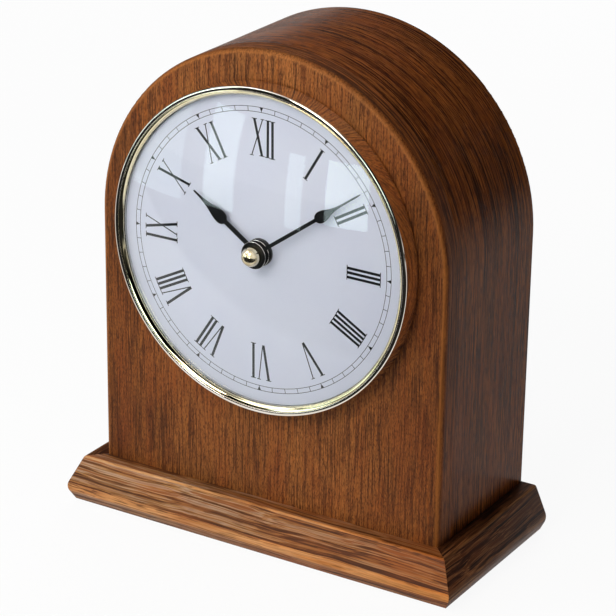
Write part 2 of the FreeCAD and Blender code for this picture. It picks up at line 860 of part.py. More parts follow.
def make_movement_case():
    body = new_body("movement_case", y=face_y - movement_back_rise, z=dial_z)
    outline = new_sketch(body, "outline", "XZ_Plane")
    movement_square(outline)
    pad(body, outline, "block", mm.movement_depth - mm.movement_wall)
    half = mm.movement_side / 2
    bay_low = mm.bay_wall - half
    bay_high = bay_low + mm.bay_height
    inner = half - mm.movement_wall
    train = new_sketch(body, "train_room", "XZ_Plane", mm.movement_wall)
    draw_outline(train, rectangle(-inner, inner, bay_high + mm.bay_wall, inner))
    cut(body, train, "train_space")
    bay = new_sketch(body, "battery_room", "XZ_Plane")
    draw_outline(bay, rectangle(bay_low, -bay_low, bay_low, bay_high))
    cut(body, bay, "battery_bay")
    post_height = post_rise - movement_back_rise - mm.movement_wall
    centres = ((0, 0), (motion_x, motion_z))
    posts = new_sketch(body, "posts", "XZ_Plane", mm.movement_wall)
    for x, z in centres:
        draw_circle(posts, x, z, mm.post_radius)
    pad(body, posts, "arbor_posts", post_height)
    seats = new_sketch(body, "seats", "XZ_Plane", mm.movement_wall + post_height - mm.pivot_length)
    for x, z in centres:
        draw_circle(seats, x, z, mm.pivot_radius + mm.running_gap)
    cut(body, seats, "pivot_seats")
    stem = new_sketch(body, "stem", "XZ_Plane")
    draw_circle(stem, setting_x, setting_z, mm.stem_radius + mm.running_gap)
    cut(body, stem, "stem_hole")


def gear_outline(teeth, module, first_tooth):
    # Corners of an involute gear, with thin teeth so that the pair turns freely.
    pressure = math.radians(pressure_angle)
    tip_share, root_share, thick_share = 0.85, 1.15, 0.86
    pitch = module * teeth / 2
    base = pitch * math.cos(pressure)
    root = pitch - module * root_share
    tip = pitch + module * tip_share
    stations = [root, max(base, root), pitch, (pitch + tip) / 2, tip]
    half_at_pitch = math.pi / 2 / teeth * thick_share
    wrap = math.tan(pressure) - pressure

    def half_angle(radius):
        lean = math.acos(min(1.0, base / max(radius, base)))
        return half_at_pitch + wrap - (math.tan(lean) - lean)

    points = []
    for tooth in range(teeth):
        middle = math.radians(first_tooth) + 2 * math.pi * tooth / teeth
        for radius in stations:
            angle = middle - half_angle(radius)
            points.append(FreeCAD.Vector(radius * math.cos(angle), 0, radius * math.sin(angle)))
        for radius in reversed(stations):
            angle = middle + half_angle(radius)
            points.append(FreeCAD.Vector(radius * math.cos(angle), 0, radius * math.sin(angle)))
    points.append(points[0])
    return points


def gear_solid(teeth, module, first_tooth, back, thickness):
    face = Part.Face(Part.makePolygon(gear_outline(teeth, module.value, first_tooth)))
    solid = face.extrude(FreeCAD.Vector(0, -thickness.value, 0))
    solid.translate(FreeCAD.Vector(0, -back.value, 0))
    return solid


def rod(radius, back, front):
    # A round rod on the axis, between two rises.
    start = FreeCAD.Vector(0, -back.value, 0)
    return Part.makeCylinder(radius.value, front.value - back.value, start, FreeCAD.Vector(0, -1, 0))


def place_feature(label, shape, x=0.0, z=0.0, angle=0.0):
    feature = doc.addObject("Part::Feature", label)
    feature.Label = label
    feature.Shape = shape
    base = FreeCAD.Vector(x, face_y.value, dial_z.value + z)
    feature.Placement = FreeCAD.Placement(base, FreeCAD.Rotation(FreeCAD.Vector(0, 1, 0), angle))


def make_motion_works():
    pinion_length = mm.wheel_thickness + mm.pinion_allowance * 2
    pinion_back = motion_wheel_back - mm.pinion_allowance

    # The minute arbor: a long pinion with a pivot behind and a threaded stub in front.
    arbor_radius = mm.hour_tube_radius - mm.hour_tube_wall - mm.running_gap
    arbor = gear_solid(minute_pinion_teeth, first_module, motion_direction, pinion_back, pinion_length)
    arbor = arbor.fuse([
        rod(arbor_radius, pinion_back, mm.minute_disc_rise),
        rod(mm.stub_radius, mm.minute_disc_rise, mm.minute_disc_rise + mm.stub_length),
        rod(mm.pivot_radius, post_rise - mm.pivot_length + mm.running_gap, pinion_back),
    ])
    place_feature("minute_arbor", arbor.removeSplitter())

    # The hour wheel turns on the minute arbor and carries its hand on a long tube.
    gap_tooth = motion_direction + 180 / hour_wheel_teeth
    hour_back = hour_wheel_rise - mm.wheel_thickness
    wheel = gear_solid(hour_wheel_teeth, second_module, gap_tooth, hour_back, mm.wheel_thickness)
    wheel = wheel.fuse(rod(mm.hour_tube_radius, hour_back, mm.hour_tube_rise))
    bore = mm.hour_tube_radius - mm.hour_tube_wall
    wheel = wheel.cut(rod(bore, hour_back - mm.overrun, mm.hour_tube_rise + mm.overrun))
    place_feature("hour_wheel", wheel.removeSplitter())

    # The motion wheel and its pinion are one moulding between two pivots.
    gap_tooth = motion_direction + 180 + 180 / motion_wheel_teeth
    motion = gear_solid(motion_wheel_teeth, first_module, gap_tooth, motion_wheel_back, mm.wheel_thickness)
    upper = hour_wheel_rise - motion_wheel_rise
    motion = motion.fuse([
        gear_solid(motion_pinion_teeth, second_module, motion_direction + 180, motion_wheel_rise, upper),
        rod(mm.pivot_radius, post_rise - mm.pivot_length + mm.running_gap, motion_wheel_back),
        rod(mm.pivot_radius, hour_wheel_rise, cover_back_rise + mm.pivot_depth - mm.running_gap),
    ])
    place_feature("motion_wheel", motion.removeSplitter(), motion_x.value, motion_z.value)

    # The setting pinion has a stem that comes out through the back of the movement.
    gap_tooth = setting_direction + 180 + 180 / setting_pinion_teeth
    setter = gear_solid(setting_pinion_teeth, first_module, gap_tooth, pinion_back, pinion_length)
    stem_end = movement_back_rise - mm.knob_standoff - mm.knob_height
    setter = setter.fuse([
        rod(mm.pivot_radius, pinion_back + pinion_length, cover_back_rise + mm.pivot_depth - mm.running_gap),
        rod(mm.stem_radius, stem_end + mm.knob_standoff, pinion_back),
    ])
    place_feature("setting_pinion", setter.removeSplitter(), setting_x.value, setting_z.value)

    # A grooved knob is pressed on the stem.
    knob = rod(mm.knob_radius, stem_end, stem_end + mm.knob_height)
    knob = knob.makeChamfer(mm.knob_groove_radius.value, [e for e in knob.Edges if e.Closed])
    flutes = []
    for count in range(knob_flutes):
        flute = rod(mm.knob_groove_radius, stem_end - mm.overrun, stem_end + mm.knob_height + mm.overrun)
        x, z = turned(mm.knob_radius, 360 / knob_flutes * count)
        flute.translate(FreeCAD.Vector(x.value, 0, z.value))
        flutes.append(flute)
    socket = rod(mm.stem_radius, stem_end + mm.knob_standoff, stem_end + mm.knob_height + mm.overrun)
    knob = knob.cut(flutes + [socket])
    place_feature("setting_knob", knob, setting_x.value, setting_z.value)


def hand_blade(length, leaf_root, leaf_width, shaft_width, leaf_shares, rise, drop):
    # A straight shaft that opens into a drop-shaped leaf with a long point. It leans back from
    # the glass by its drop.
    half_shaft = shaft_width.value / 2
    run = length.value - leaf_root.value
    flank = []
    for along_share, across_share in leaf_shares:
        across = leaf_width.value / 2 * across_share
        flank.append(FreeCAD.Vector(across, 0, leaf_root.value + run * along_share))
    side = Part.BSplineCurve()
    side.interpolate(flank)
    mirror = Part.BSplineCurve()
    mirror.interpolate([FreeCAD.Vector(-p.x, 0, p.z) for p in reversed(flank)])
    start_right = FreeCAD.Vector(half_shaft, 0, 0)
    start_left = FreeCAD.Vector(-half_shaft, 0, 0)
    root_left = FreeCAD.Vector(-flank[0].x, 0, flank[0].z)
    tip_left = FreeCAD.Vector(-flank[-1].x, 0, flank[-1].z)
    edges = [
        Part.makeLine(start_left, start_right),
        Part.makeLine(start_right, flank[0]),
        side.toShape(),
        Part.makeLine(flank[-1], tip_left),
        mirror.toShape(),
        Part.makeLine(root_left, start_left),
    ]
    blade = Part.Face(Part.Wire(edges)).extrude(FreeCAD.Vector(0, -mm.hand_sheet.value, 0))
    lean = math.degrees(math.atan2(drop, length.value))
    blade.rotate(FreeCAD.Vector(), FreeCAD.Vector(-1, 0, 0), lean)
    blade.translate(FreeCAD.Vector(0, mm.hand_sheet.value - rise.value, 0))
    return blade


hour_leaf_shares = (
    (0.0, 0.34), (0.035, 0.72), (0.1, 0.95), (0.18, 1.0), (0.28, 0.92),
    (0.42, 0.64), (0.57, 0.36), (0.74, 0.19), (1.0, 0.08),
)
minute_leaf_shares = (
    (0.0, 0.31), (0.028, 0.7), (0.075, 0.94), (0.135, 1.0), (0.2, 0.9),
    (0.31, 0.55), (0.43, 0.29), (0.62, 0.16), (1.0, 0.08),
)


def make_hands():
    # Each hand is a blade on a disc, with a collet behind it that is pressed on its tube or arbor.
    length = dial_radius * hour_length_share
    rise = mm.hour_disc_rise
    back = rise - mm.hand_sheet
    hand = hand_blade(
        length, length * hour_root_share, mm.hour_leaf_width, mm.hour_shaft_width, hour_leaf_shares, rise, 0.0
    )
    hand = hand.fuse([
        rod(mm.hour_disc_radius, back, rise),
        rod(mm.hour_collet_radius, back - mm.hour_collet_height, back),
    ])
    bore = rod(mm.hour_tube_radius, back - mm.hour_collet_height - mm.overrun, rise + mm.overrun)
    place_feature("hour_hand", hand.cut(bore).removeSplitter(), angle=hour_hand_angle)

    length = dial_radius * minute_length_share
    rise = mm.minute_disc_rise
    back = rise - mm.hand_sheet
    hand = hand_blade(
        length, length * minute_root_share, mm.minute_leaf_width, mm.minute_shaft_width, minute_leaf_shares,
        rise, mm.minute_tip_drop.value,
    )
    hand = hand.fuse([
        rod(mm.minute_disc_radius, back, rise),
        rod(mm.minute_collet_radius, back - mm.minute_collet_height, back),
    ])
    arbor_radius = mm.hour_tube_radius - mm.hour_tube_wall - mm.running_gap
    bore = rod(arbor_radius, back - mm.minute_collet_height - mm.overrun, rise + mm.overrun)
    place_feature("minute_hand", hand.cut(bore).removeSplitter(), angle=minute_hand_angle)


def make_cap_nut():
    body = axis_body("cap_nut")
    seat = mm.minute_disc_rise
    stub_end = seat + mm.stub_length
    turn(body, [
        (mm.stub_radius, seat),
        (mm.cap_radius, seat),
        (mm.cap_radius, seat + mm.cap_height, mm.cap_round),
        (0, seat + mm.cap_height),
        (0, stub_end),
        (mm.stub_radius, stub_end),
    ])


def make_battery_parts():
    half = mm.movement_side / 2
    bay_low = mm.bay_wall - half
    battery_z = dial_z + bay_low + mm.bay_height / 2
    battery_y = face_y - cover_back_rise + mm.battery_radius + mm.contact_gap
    nub_end = half - mm.bay_wall - mm.contact_sheet - mm.contact_gap
    shoulder = nub_end - mm.nub_height
    back_end = nub_end - mm.battery_length
    battery = new_body("battery", y=battery_y, z=battery_z)
    sketch = new_sketch(battery, "profile", "XY_Plane")
    draw_outline(sketch, [
        (back_end, 0),
        (nub_end, 0),
        (nub_end, mm.nub_radius),
        (shoulder, mm.nub_radius),
        (shoulder, mm.battery_radius, mm.battery_chamfer),
        (back_end, mm.battery_radius, mm.battery_chamfer),
    ])
    feature = battery.newObject("PartDesign::Revolution", "turned")
    feature.Profile = sketch
    feature.ReferenceAxis = (sketch, ["H_Axis"])
    feature.Angle = 360

    # A flat strip meets the nub, and a bent leaf presses on the other end.
    plus = new_body("plus_contact", y=battery_y, z=battery_z)
    sketch = new_sketch(plus, "outline", "XY_Plane")
    wall = half - mm.bay_wall
    wide = mm.contact_width / 2
    draw_outline(sketch, rectangle(wall - mm.contact_sheet, wall, -wide, wide))
    pad(plus, sketch, "strip", mm.contact_height, middle=True)
    minus = new_body("minus_contact", y=battery_y, z=battery_z)
    sketch = new_sketch(minus, "outline", "XY_Plane")
    touch = back_end - mm.contact_gap
    thin = mm.contact_sheet
    draw_outline(sketch, [
        (-wall, -wide),
        (thin - wall, -wide),
        (touch, -thin),
        (touch, thin),
        (thin - wall, wide),
        (-wall, wide),
        (-wall, wide - thin),
        (touch - thin, thin / 2),
        (touch - thin, -thin / 2),
        (-wall, thin - wide),
    ])
    pad(minus, sketch, "leaf", mm.contact_height, middle=True)


def make_drive_parts():
    inner = mm.movement_side / 2 - mm.movement_wall
    board_x = -mm.coil_offset
    floor_y = face_y - movement_back_rise - mm.movement_wall
    board = new_body("circuit_board", x=board_x, y=floor_y, z=dial_z)
    sketch = new_sketch(board, "outline", "XZ_Plane")
    half = mm.circuit_width / 2
    top = inner - mm.panel_gap
    draw_outline(sketch, rectangle(-half, half, top - mm.circuit_height, top))
    pad(board, sketch, "board", mm.circuit_sheet)
    coil = new_body("coil", x=board_x, y=floor_y - mm.circuit_sheet - mm.coil_radius, z=dial_z)
    sketch = new_sketch(coil, "profile", "XZ_Plane")
    foot = top - mm.coil_length - mm.panel_gap
    draw_outline(sketch, [
        (0, foot),
        (mm.coil_radius, foot),
        (mm.coil_radius, foot + mm.coil_flange),
        (mm.coil_core_radius, foot + mm.coil_flange),
        (mm.coil_core_radius, foot + mm.coil_length - mm.coil_flange),
        (mm.coil_radius, foot + mm.coil_length - mm.coil_flange),
        (mm.coil_radius, foot + mm.coil_length),
        (0, foot + mm.coil_length),
    ])
    feature = coil.newObject("PartDesign::Revolution", "turned")
    feature.Profile = sketch
    feature.ReferenceAxis = (sketch, ["V_Axis"])
    feature.Angle = 360
    crystal = doc.addObject("Part::Cylinder", "crystal")
    crystal.Label = "crystal"
    bind(crystal, "Radius", mm.crystal_radius)
    bind(crystal, "Height", mm.crystal_length)
    crystal.Placement = FreeCAD.Placement(FreeCAD.Vector(), FreeCAD.Rotation(FreeCAD.Vector(0, 1, 0), 90))
    bind(crystal, "Placement.Base.x", board_x - mm.crystal_length / 2)
    bind(crystal, "Placement.Base.y", floor_y - mm.circuit_sheet - mm.crystal_radius)
    bind(crystal, "Placement.Base.z", dial_z + foot - mm.crystal_radius * 2)


make_front_panel()
make_case_shell()
make_back_board()
make_bottom_board()
make_glue_block("glue_block_left", -1)
make_glue_block("glue_block_right", 1)
make_plinth_front()
make_plinth_side("plinth_left", -1)
make_plinth_side("plinth_right", 1)
make_plinth_rail()
make_plinth_board()
make_felt_pads()
make_all_screws()
make_bezel()
make_glass()
make_glass_ring()
make_dial_plate()
make_dial_pan()
make_washer_nut_bush()
make_movement_cover()
make_movement_case()
make_motion_works()
make_hands()
make_cap_nut()
make_battery_parts()
make_drive_parts()
doc.recompute()

node_names = (
    "front_panel", "case_shell", "back_board", "bottom_board", "glue_block_left", "glue_block_right",
    "plinth_front", "plinth_left", "plinth_right", "plinth_rail", "plinth_board", "felt_pads",
    "back_screws", "case_screws", "pan_screws", "bezel", "glass", "glass_ring", "dial_plate", "dial_pan",
    "rubber_washer", "fixing_nut", "threaded_bush", "movement_cover", "movement_case", "minute_arbor",
    "hour_wheel", "motion_wheel", "setting_pinion", "setting_knob", "hour_hand", "minute_hand", "cap_nut",
    "battery", "plus_contact", "minus_contact", "circuit_board", "coil", "crystal",
)

for item in doc.Objects:
    if "Invalid" in item.State or "Error" in item.State:
        raise RuntimeError(f"{item.Label} did not build: {item.State}")
nodes = {}
for name in node_names:
    found = [item for item in doc.Objects if item.Label == name]
    if len(found) != 1 or found[0].Shape.isNull() or not found[0].Shape.isValid():
        raise RuntimeError(f"{name} has no sound shape of its own")
    nodes[name] = found[0]

os.makedirs("parts", exist_ok=True)
for name, item in nodes.items():
    item.Shape.exportStep(f"parts/{name}.step")
    print(f"{name}: {len(item.Shape.Solids)} solid(s), {item.Shape.Volume:.1f} mm3")
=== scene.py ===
import json
import math

import bpy
from mathutils import Matrix, Vector

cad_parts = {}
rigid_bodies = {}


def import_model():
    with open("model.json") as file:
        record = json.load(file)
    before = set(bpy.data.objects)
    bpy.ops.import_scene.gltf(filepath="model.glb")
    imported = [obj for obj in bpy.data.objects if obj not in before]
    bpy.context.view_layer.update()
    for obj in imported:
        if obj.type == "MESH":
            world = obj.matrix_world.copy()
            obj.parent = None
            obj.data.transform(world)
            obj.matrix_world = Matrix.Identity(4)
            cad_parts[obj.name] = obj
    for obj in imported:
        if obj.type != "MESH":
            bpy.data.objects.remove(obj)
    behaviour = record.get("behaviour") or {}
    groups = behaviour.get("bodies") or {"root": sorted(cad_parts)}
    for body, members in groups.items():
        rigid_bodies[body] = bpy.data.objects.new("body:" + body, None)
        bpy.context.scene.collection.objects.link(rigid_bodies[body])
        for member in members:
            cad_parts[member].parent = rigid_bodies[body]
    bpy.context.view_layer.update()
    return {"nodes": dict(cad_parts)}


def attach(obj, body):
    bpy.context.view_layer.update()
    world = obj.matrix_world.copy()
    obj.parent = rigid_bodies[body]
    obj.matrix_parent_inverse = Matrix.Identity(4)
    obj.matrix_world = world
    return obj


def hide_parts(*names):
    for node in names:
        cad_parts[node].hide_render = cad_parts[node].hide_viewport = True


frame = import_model()
nodes = frame["nodes"]
print("frame loaded:", len(nodes), "nodes")

# the clock's own places, in millimetres
clock = {"faceY": -26.0, "dialZ": 126.5, "halfWidth": 77.5, "ledgeZ": 20.0, "rearY": 44.0, "floorGap": 1.0}
mm = 0.001
weld = 0.002 * mm  # points nearer than this are merged


def at(x, y, z):
    return Vector((x, y, z)) * mm


def onAxis(radius, rise):
    # a place beside the clock's axis, so far in front of the wooden face
    return at(radius, clock["faceY"] - rise, clock["dialZ"])


def onDial(radius, degrees, rise):
    # a place on the dial, at an angle that runs clockwise from twelve
    turn = math.radians(degrees)
    return at(radius * math.sin(turn), clock["faceY"] - rise, clock["dialZ"] + radius * math.cos(turn))


def fromAxis(point):
    return math.hypot(point.x, point.z - clock["dialZ"] * mm)


def linear(colour):
    parts = [int(colour[i:i + 2], 16) / 255 for i in (0, 2, 4)]
    return (*[p / 12.92 if p <= 0.04045 else ((p + 0.055) / 1.055) ** 2.4 for p in parts], 1.0)


# the moves that the pieces below are modelled with

def setMode(mode):
    bpy.ops.object.mode_set(mode=mode)


def startPoint(name, place):
    # a new piece that is a single point, ready to be drawn out
    bpy.ops.object.select_all(action="DESELECT")
    bpy.ops.mesh.primitive_plane_add(size=mm, location=place)
    piece = bpy.context.object
    piece.name = piece.data.name = name
    bpy.ops.object.transform_apply(location=True)
    setMode("EDIT")
    bpy.ops.mesh.select_mode(type="VERT")
    bpy.ops.mesh.merge(type="COLLAPSE")
    return piece


def extrudeBy(step):
    bpy.ops.mesh.extrude_region_move(TRANSFORM_OT_translate={"value": step})


def drawLine(points):
    for last, point in zip(points, points[1:]):
        extrudeBy(point - last)


def pick(kind, test):
    # selects the points, edges or faces that the test holds for
    piece = bpy.context.object
    bpy.ops.mesh.select_all(action="DESELECT")
    bpy.ops.mesh.select_mode(type=kind)
    setMode("OBJECT")
    points = piece.data.vertices
    if kind == "VERT":
        for point in points:
            point.select = test(point.co)
    elif kind == "EDGE":
        for edge in piece.data.edges:
            edge.select = test(points[edge.vertices[0]].co, points[edge.vertices[1]].co)
    else:
        for face in piece.data.polygons:
            face.select = test(face.center, face.normal)
    setMode("EDIT")


def roundPoint(place, radius, segments):
    # rounds one corner of a drawn line
    pick("VERT", lambda point: (point - place).length < 5 * weld)
    bpy.ops.mesh.bevel(offset=radius * mm, segments=segments, affect="VERTICES")


def cleanUp():
    bpy.ops.mesh.select_mode(type="VERT")
    bpy.ops.mesh.select_all(action="SELECT")
    bpy.ops.mesh.remove_doubles(threshold=weld)
    bpy.ops.mesh.normals_make_consistent(inside=False)
    setMode("OBJECT")


def spunPiece(name, corners, steps):
    # a closed section of corners (radius, rise[, rounding, segments]) turned about the clock's axis
    places = [onAxis(*corner[:2]) for corner in corners]
    piece = startPoint(name, places[0])
    drawLine(places + places[:1])
    bpy.ops.mesh.select_all(action="SELECT")
    bpy.ops.mesh.remove_doubles(threshold=weld)
    for corner, place in zip(corners, places):
        if len(corner) > 2:
            roundPoint(place, *corner[2:])
    bpy.ops.mesh.select_all(action="SELECT")
    bpy.ops.mesh.spin(steps=steps, angle=2 * math.pi, center=onAxis(0, 0), axis=(0, 1, 0))
    cleanUp()
    return piece


def copiedNode(node, name):
    # a copy of a solid's mesh, open for work: merged, and with its flat faces made whole
    flat = math.radians(0.4)
    bpy.ops.object.select_all(action="DESELECT")
    piece = bpy.data.objects.new(name, nodes[node].data.copy())
    piece.data.name = name
    bpy.context.scene.collection.objects.link(piece)
    bpy.context.view_layer.objects.active = piece
    piece.select_set(True)
    setMode("EDIT")
    bpy.ops.mesh.select_all(action="SELECT")
    bpy.ops.mesh.customdata_custom_splitnormals_clear()
    bpy.ops.mesh.remove_doubles(threshold=weld)
    bpy.ops.mesh.dissolve_limited(angle_limit=flat)
    return piece


def joined(pieces):
    bpy.ops.object.select_all(action="DESELECT")
    for piece in pieces:
        piece.select_set(True)
    bpy.context.view_layer.objects.active = pieces[0]
    bpy.ops.object.join()
    return pieces[0]


def finishPiece(piece, body, finishes, replaced=(), angle=35):
    while len(piece.data.materials) < len(finishes):
        piece.data.materials.append(None)
    for number, finish in enumerate(finishes):
        piece.data.materials[number] = finish
    bpy.ops.object.select_all(action="DESELECT")
    bpy.context.view_layer.objects.active = piece
    piece.select_set(True)
    bpy.ops.object.shade_smooth_by_angle(angle=math.radians(angle))
    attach(piece, body)
    if replaced:
        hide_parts(*replaced)


# nodes and finishes

def addNode(tree, kind, settings, result=0):
    # adds a node and returns what it gives; a socket among its settings is linked, a hex colour made linear
    node = tree.nodes.new(kind)
    for key, value in settings.items():
        if key == "stops":
            stops = node.color_ramp.elements
            while len(stops) < len(value):
                stops.new(0.5)
            for stop, (position, colour) in zip(stops, value):
                stop.position = position
                stop.color = linear(colour) if isinstance(colour, str) else (colour, colour, colour, 1)
        elif not isinstance(key, int) and key not in node.inputs:
            setattr(node, key, value)
        elif isinstance(value, bpy.types.NodeSocket):
            tree.links.new(value, node.inputs[key])
        else:
            node.inputs[key].default_value = linear(value) if isinstance(value, str) else value
    return node.outputs[result]


def newFinish(name, settings):
    finish = bpy.data.materials.new(name)
    finish.use_nodes = True
    tree = finish.node_tree
    shader = tree.nodes["Principled BSDF"]
    for key, value in settings.items():
        shader.inputs[key].default_value = linear(value) if isinstance(value, str) else value
    return finish, tree, shader


def grained(tree, place, axis, size, run, detail, roughness=0.5, result=0):
    # a pattern drawn out along the grain, with its size across and its run along it in millimetres
    scale = [1 / (size * mm)] * 3
    scale["xyz".index(axis)] = 1 / (run * mm)
    drawn = addNode(tree, "ShaderNodeMapping", {"Scale": scale, "Vector": place})
    settings = {"Vector": drawn, "Scale": 1.0, "Detail": detail, "Roughness": roughness}
    return addNode(tree, "ShaderNodeTexNoise", settings, result)


def archPlace(tree, place):
    # along the bent board: x is the distance from its middle line, y the depth, z the run round the arch
    x, y, z = addNode(tree, "ShaderNodeSeparateXYZ", {0: place}).node.outputs
    height = addNode(tree, "ShaderNodeMath", {"operation": "SUBTRACT", 0: z, 1: clock["dialZ"] * mm})
    above = addNode(tree, "ShaderNodeMath", {"operation": "MAXIMUM", 0: height, 1: 0.0})
    below = addNode(tree, "ShaderNodeMath", {"operation": "MINIMUM", 0: height, 1: 0.0})
    turn = addNode(tree, "ShaderNodeMath", {"operation": "ARCTAN2", 0: x, 1: above})
    bow = addNode(tree, "ShaderNodeMath", {"operation": "MULTIPLY", 0: turn, 1: clock["halfWidth"] * mm})
    side = addNode(tree, "ShaderNodeMath", {"operation": "SIGN", 0: x})
    drop = addNode(tree, "ShaderNodeMath", {"operation": "MULTIPLY", 0: side, 1: below})
    run = addNode(tree, "ShaderNodeMath", {"operation": "SUBTRACT", 0: bow, 1: drop})
    ray = addNode(tree, "ShaderNodeCombineXYZ", {0: x, 2: above})
    reach = addNode(tree, "ShaderNodeVectorMath", {"operation": "LENGTH", 0: ray}, "Value")
    return addNode(tree, "ShaderNodeCombineXYZ", {0: reach, 1: y, 2: run})


# how all the stained wood is patterned: sizes across and along the grain in millimetres, and the shares of a
# pattern between which it changes
woodPattern = {
    "waver": (14, 45), "patches": (26, 60), "blotches": (9, 40), "spread": (0.32, 0.68),
    "poreSoftness": 0.07, "poreRows": (0.44, 0.56), "reddening": (0.45, 0.7),
    "poreDent": 0.8, "dentDepth": 0.12, "edgeDepth": 4,
}


def woodTone(tree, place, look, ways):
    # the colour of stained ash, and the fibres and open pores in its surface
    axis = look["axis"]
    waver = grained(tree, place, axis, *woodPattern["waver"], 2.0, result=1)
    shift = {"operation": "MULTIPLY_ADD", 0: waver, 1: (look["waver"] * mm,) * 3, 2: place}
    drift = addNode(tree, "ShaderNodeVectorMath", shift)
    rings = grained(tree, drift, axis, *look["ring"], 3.0, 0.55)
    fibres = grained(tree, drift, axis, *look["fibre"], 4.0, 0.65)
    pores = grained(tree, drift, axis, *look["pore"], 1.0)
    patches = grained(tree, place, axis, *woodPattern["patches"], 2.0)
    blotches = grained(tree, place, axis, *woodPattern["blotches"], 2.0)
    tone = addNode(tree, "ShaderNodeValToRGB", {"stops": look["tones"], 0: rings})
    darker = [(fibres, list(zip(woodPattern["spread"], look["fine"])))]
    darker.append((patches, list(zip(woodPattern["spread"], look["slow"]))))
    for way, start, end, first, last in look["shades"]:
        # the tone changes slowly across the board, alike on its left and right; on the front board and the
        # side mouldings these ramps are painted shade
        share = addNode(tree, "ShaderNodeMapRange", {0: ways[way], 1: start * mm, 2: end * mm})
        darker.append((share, [(0.0, first), (1.0, last)]))
    for pattern, stops in darker:
        shade = addNode(tree, "ShaderNodeValToRGB", {"stops": stops, 0: pattern})
        multiply = {"data_type": "RGBA", "blend_type": "MULTIPLY", 0: 1.0, 6: tone, 7: shade}
        tone = addNode(tree, "ShaderNodeMix", multiply, 2)
    # the pores lie in rows along the rings
    shallow, deep = look["poreEdge"], look["poreEdge"] - woodPattern["poreSoftness"]
    holes = addNode(tree, "ShaderNodeMapRange", {0: pores, 1: shallow, 2: deep, 4: look["poreDark"]})
    start, end = woodPattern["poreRows"]
    rows = {0: rings, 1: start, 2: end, 3: 1.0, 4: look["poreBetween"]}
    rows = addNode(tree, "ShaderNodeMapRange", rows)
    holes = addNode(tree, "ShaderNodeMath", {"operation": "MULTIPLY", 0: holes, 1: rows})
    start, end = woodPattern["reddening"]
    redder = addNode(tree, "ShaderNodeMapRange", {0: blotches, 1: start, 2: end, 4: look["redShare"]})
    for share, colour in ((redder, look["redder"]), (holes, look["poreTone"])):
        tone = addNode(tree, "ShaderNodeMix", {"data_type": "RGBA", 0: share, 6: tone, 7: colour}, 2)
    return tone, fibres, holes


def stainedWood(name, look, edge=None):
    # open-pored ash, stained brown under a thin satin lacquer: fine streaks along the fibres, short dark
    # pores in rows that follow the rings, slow changes of tone, some of them painted shade, and a lighter
    # band along the arrises, a painted highlight
    finish, tree, shader = newFinish(name, {"IOR": 1.45, "Specular IOR Level": look["shine"]})
    place = addNode(tree, "ShaderNodeTexCoord", {}, "Object")
    x, depth, height = addNode(tree, "ShaderNodeSeparateXYZ", {0: place}).node.outputs
    aside = addNode(tree, "ShaderNodeMath", {"operation": "ABSOLUTE", 0: x})
    ways = {"along": x, "aside": aside, "height": height}
    bent = archPlace(tree, place)
    tone, fibres, holes = woodTone(tree, bent if look["bent"] else place, look, ways)
    if edge:
        # the board's rounded edge gets a painted highlight, a lighter band where it turns, and is then
        # grained like the bent sides
        start, end = clock["faceY"] * mm, (clock["faceY"] + woodPattern["edgeDepth"]) * mm
        rim = addNode(tree, "ShaderNodeMapRange", {0: depth, 1: start, 2: end})
        around = woodTone(tree, bent, edge["around"], ways)[0]
        for stops, colour in ((edge["paintedHighlight"], edge["paintedHighlightTone"]), (edge["turn"], around)):
            share = addNode(tree, "ShaderNodeValToRGB", {"stops": stops, 0: rim})
            tone = addNode(tree, "ShaderNodeMix", {"data_type": "RGBA", 0: share, 6: tone, 7: colour}, 2)
    tree.links.new(tone, shader.inputs["Base Color"])
    gloss = addNode(tree, "ShaderNodeMapRange", {0: fibres, 3: look["gloss"][0], 4: look["gloss"][1]})
    tree.links.new(gloss, shader.inputs["Roughness"])
    # the open pores are dents in the lacquer
    dents = {"operation": "MULTIPLY_ADD", 0: holes, 1: -woodPattern["poreDent"], 2: fibres}
    dents = addNode(tree, "ShaderNodeMath", dents)
    bump = {"Strength": look["relief"], "Distance": woodPattern["dentDepth"] * mm, "Height": dents}
    tree.links.new(addNode(tree, "ShaderNodeBump", bump), shader.inputs["Normal"])
    return finish


# sizes across and along the grain in millimetres; the fibres are drawn coarser than real ones, to show
frontLook = {
    "bent": False, "axis": "z", "waver": 1.4, "ring": (0.7, 26), "fibre": (0.34, 3.6), "pore": (0.34, 1.4),
    "poreEdge": 0.48, "poreTone": "34190A", "poreDark": 0.7, "poreBetween": 0.6,
    "tones": [(0.38, "5C3316"), (0.46, "7A4722"), (0.54, "935B2C"), (0.66, "8C4E1F")],
    "redder": "7C3C18", "redShare": 0.4, "fine": (0.5, 1.42), "slow": (0.8, 1.16),
    # the two ramps are painted shade: darker towards the bottom, and darker towards the left and right edges
    "shades": [("height", 30, 190, "E8E4E2", "FFFFFF"), ("aside", 35, 74, "FFFFFF", "DED2C6")],
    "gloss": (0.45, 0.62), "relief": 0.5, "shine": 0.14,
}
caseLook = dict(frontLook, bent=True, shades=[], ring=(0.85, 70), fibre=(0.5, 20), pore=(0.55, 5.0),
                poreEdge=0.47, poreDark=0.85, fine=(0.4, 1.55), shine=0.05, gloss=(0.2, 0.3),
                tones=[(0.43, "401F0B"), (0.48, "75401B"), (0.53, "965728"), (0.6, "7D4116")])
veneerCase = stainedWood("stained_ash_veneer_case", caseLook)
# the lighter band of stain on the front board's rounded edge is a painted highlight
frontEdge = {"paintedHighlight": [(0.0, 0.0), (0.06, 0.45), (0.16, 0.25), (0.36, 0.0)], "paintedHighlightTone": "AC682E",
             "turn": [(0.3, 0.0), (0.9, 1.0)], "around": caseLook}
veneerFront = stainedWood("stained_ash_veneer_front", frontLook, frontEdge)
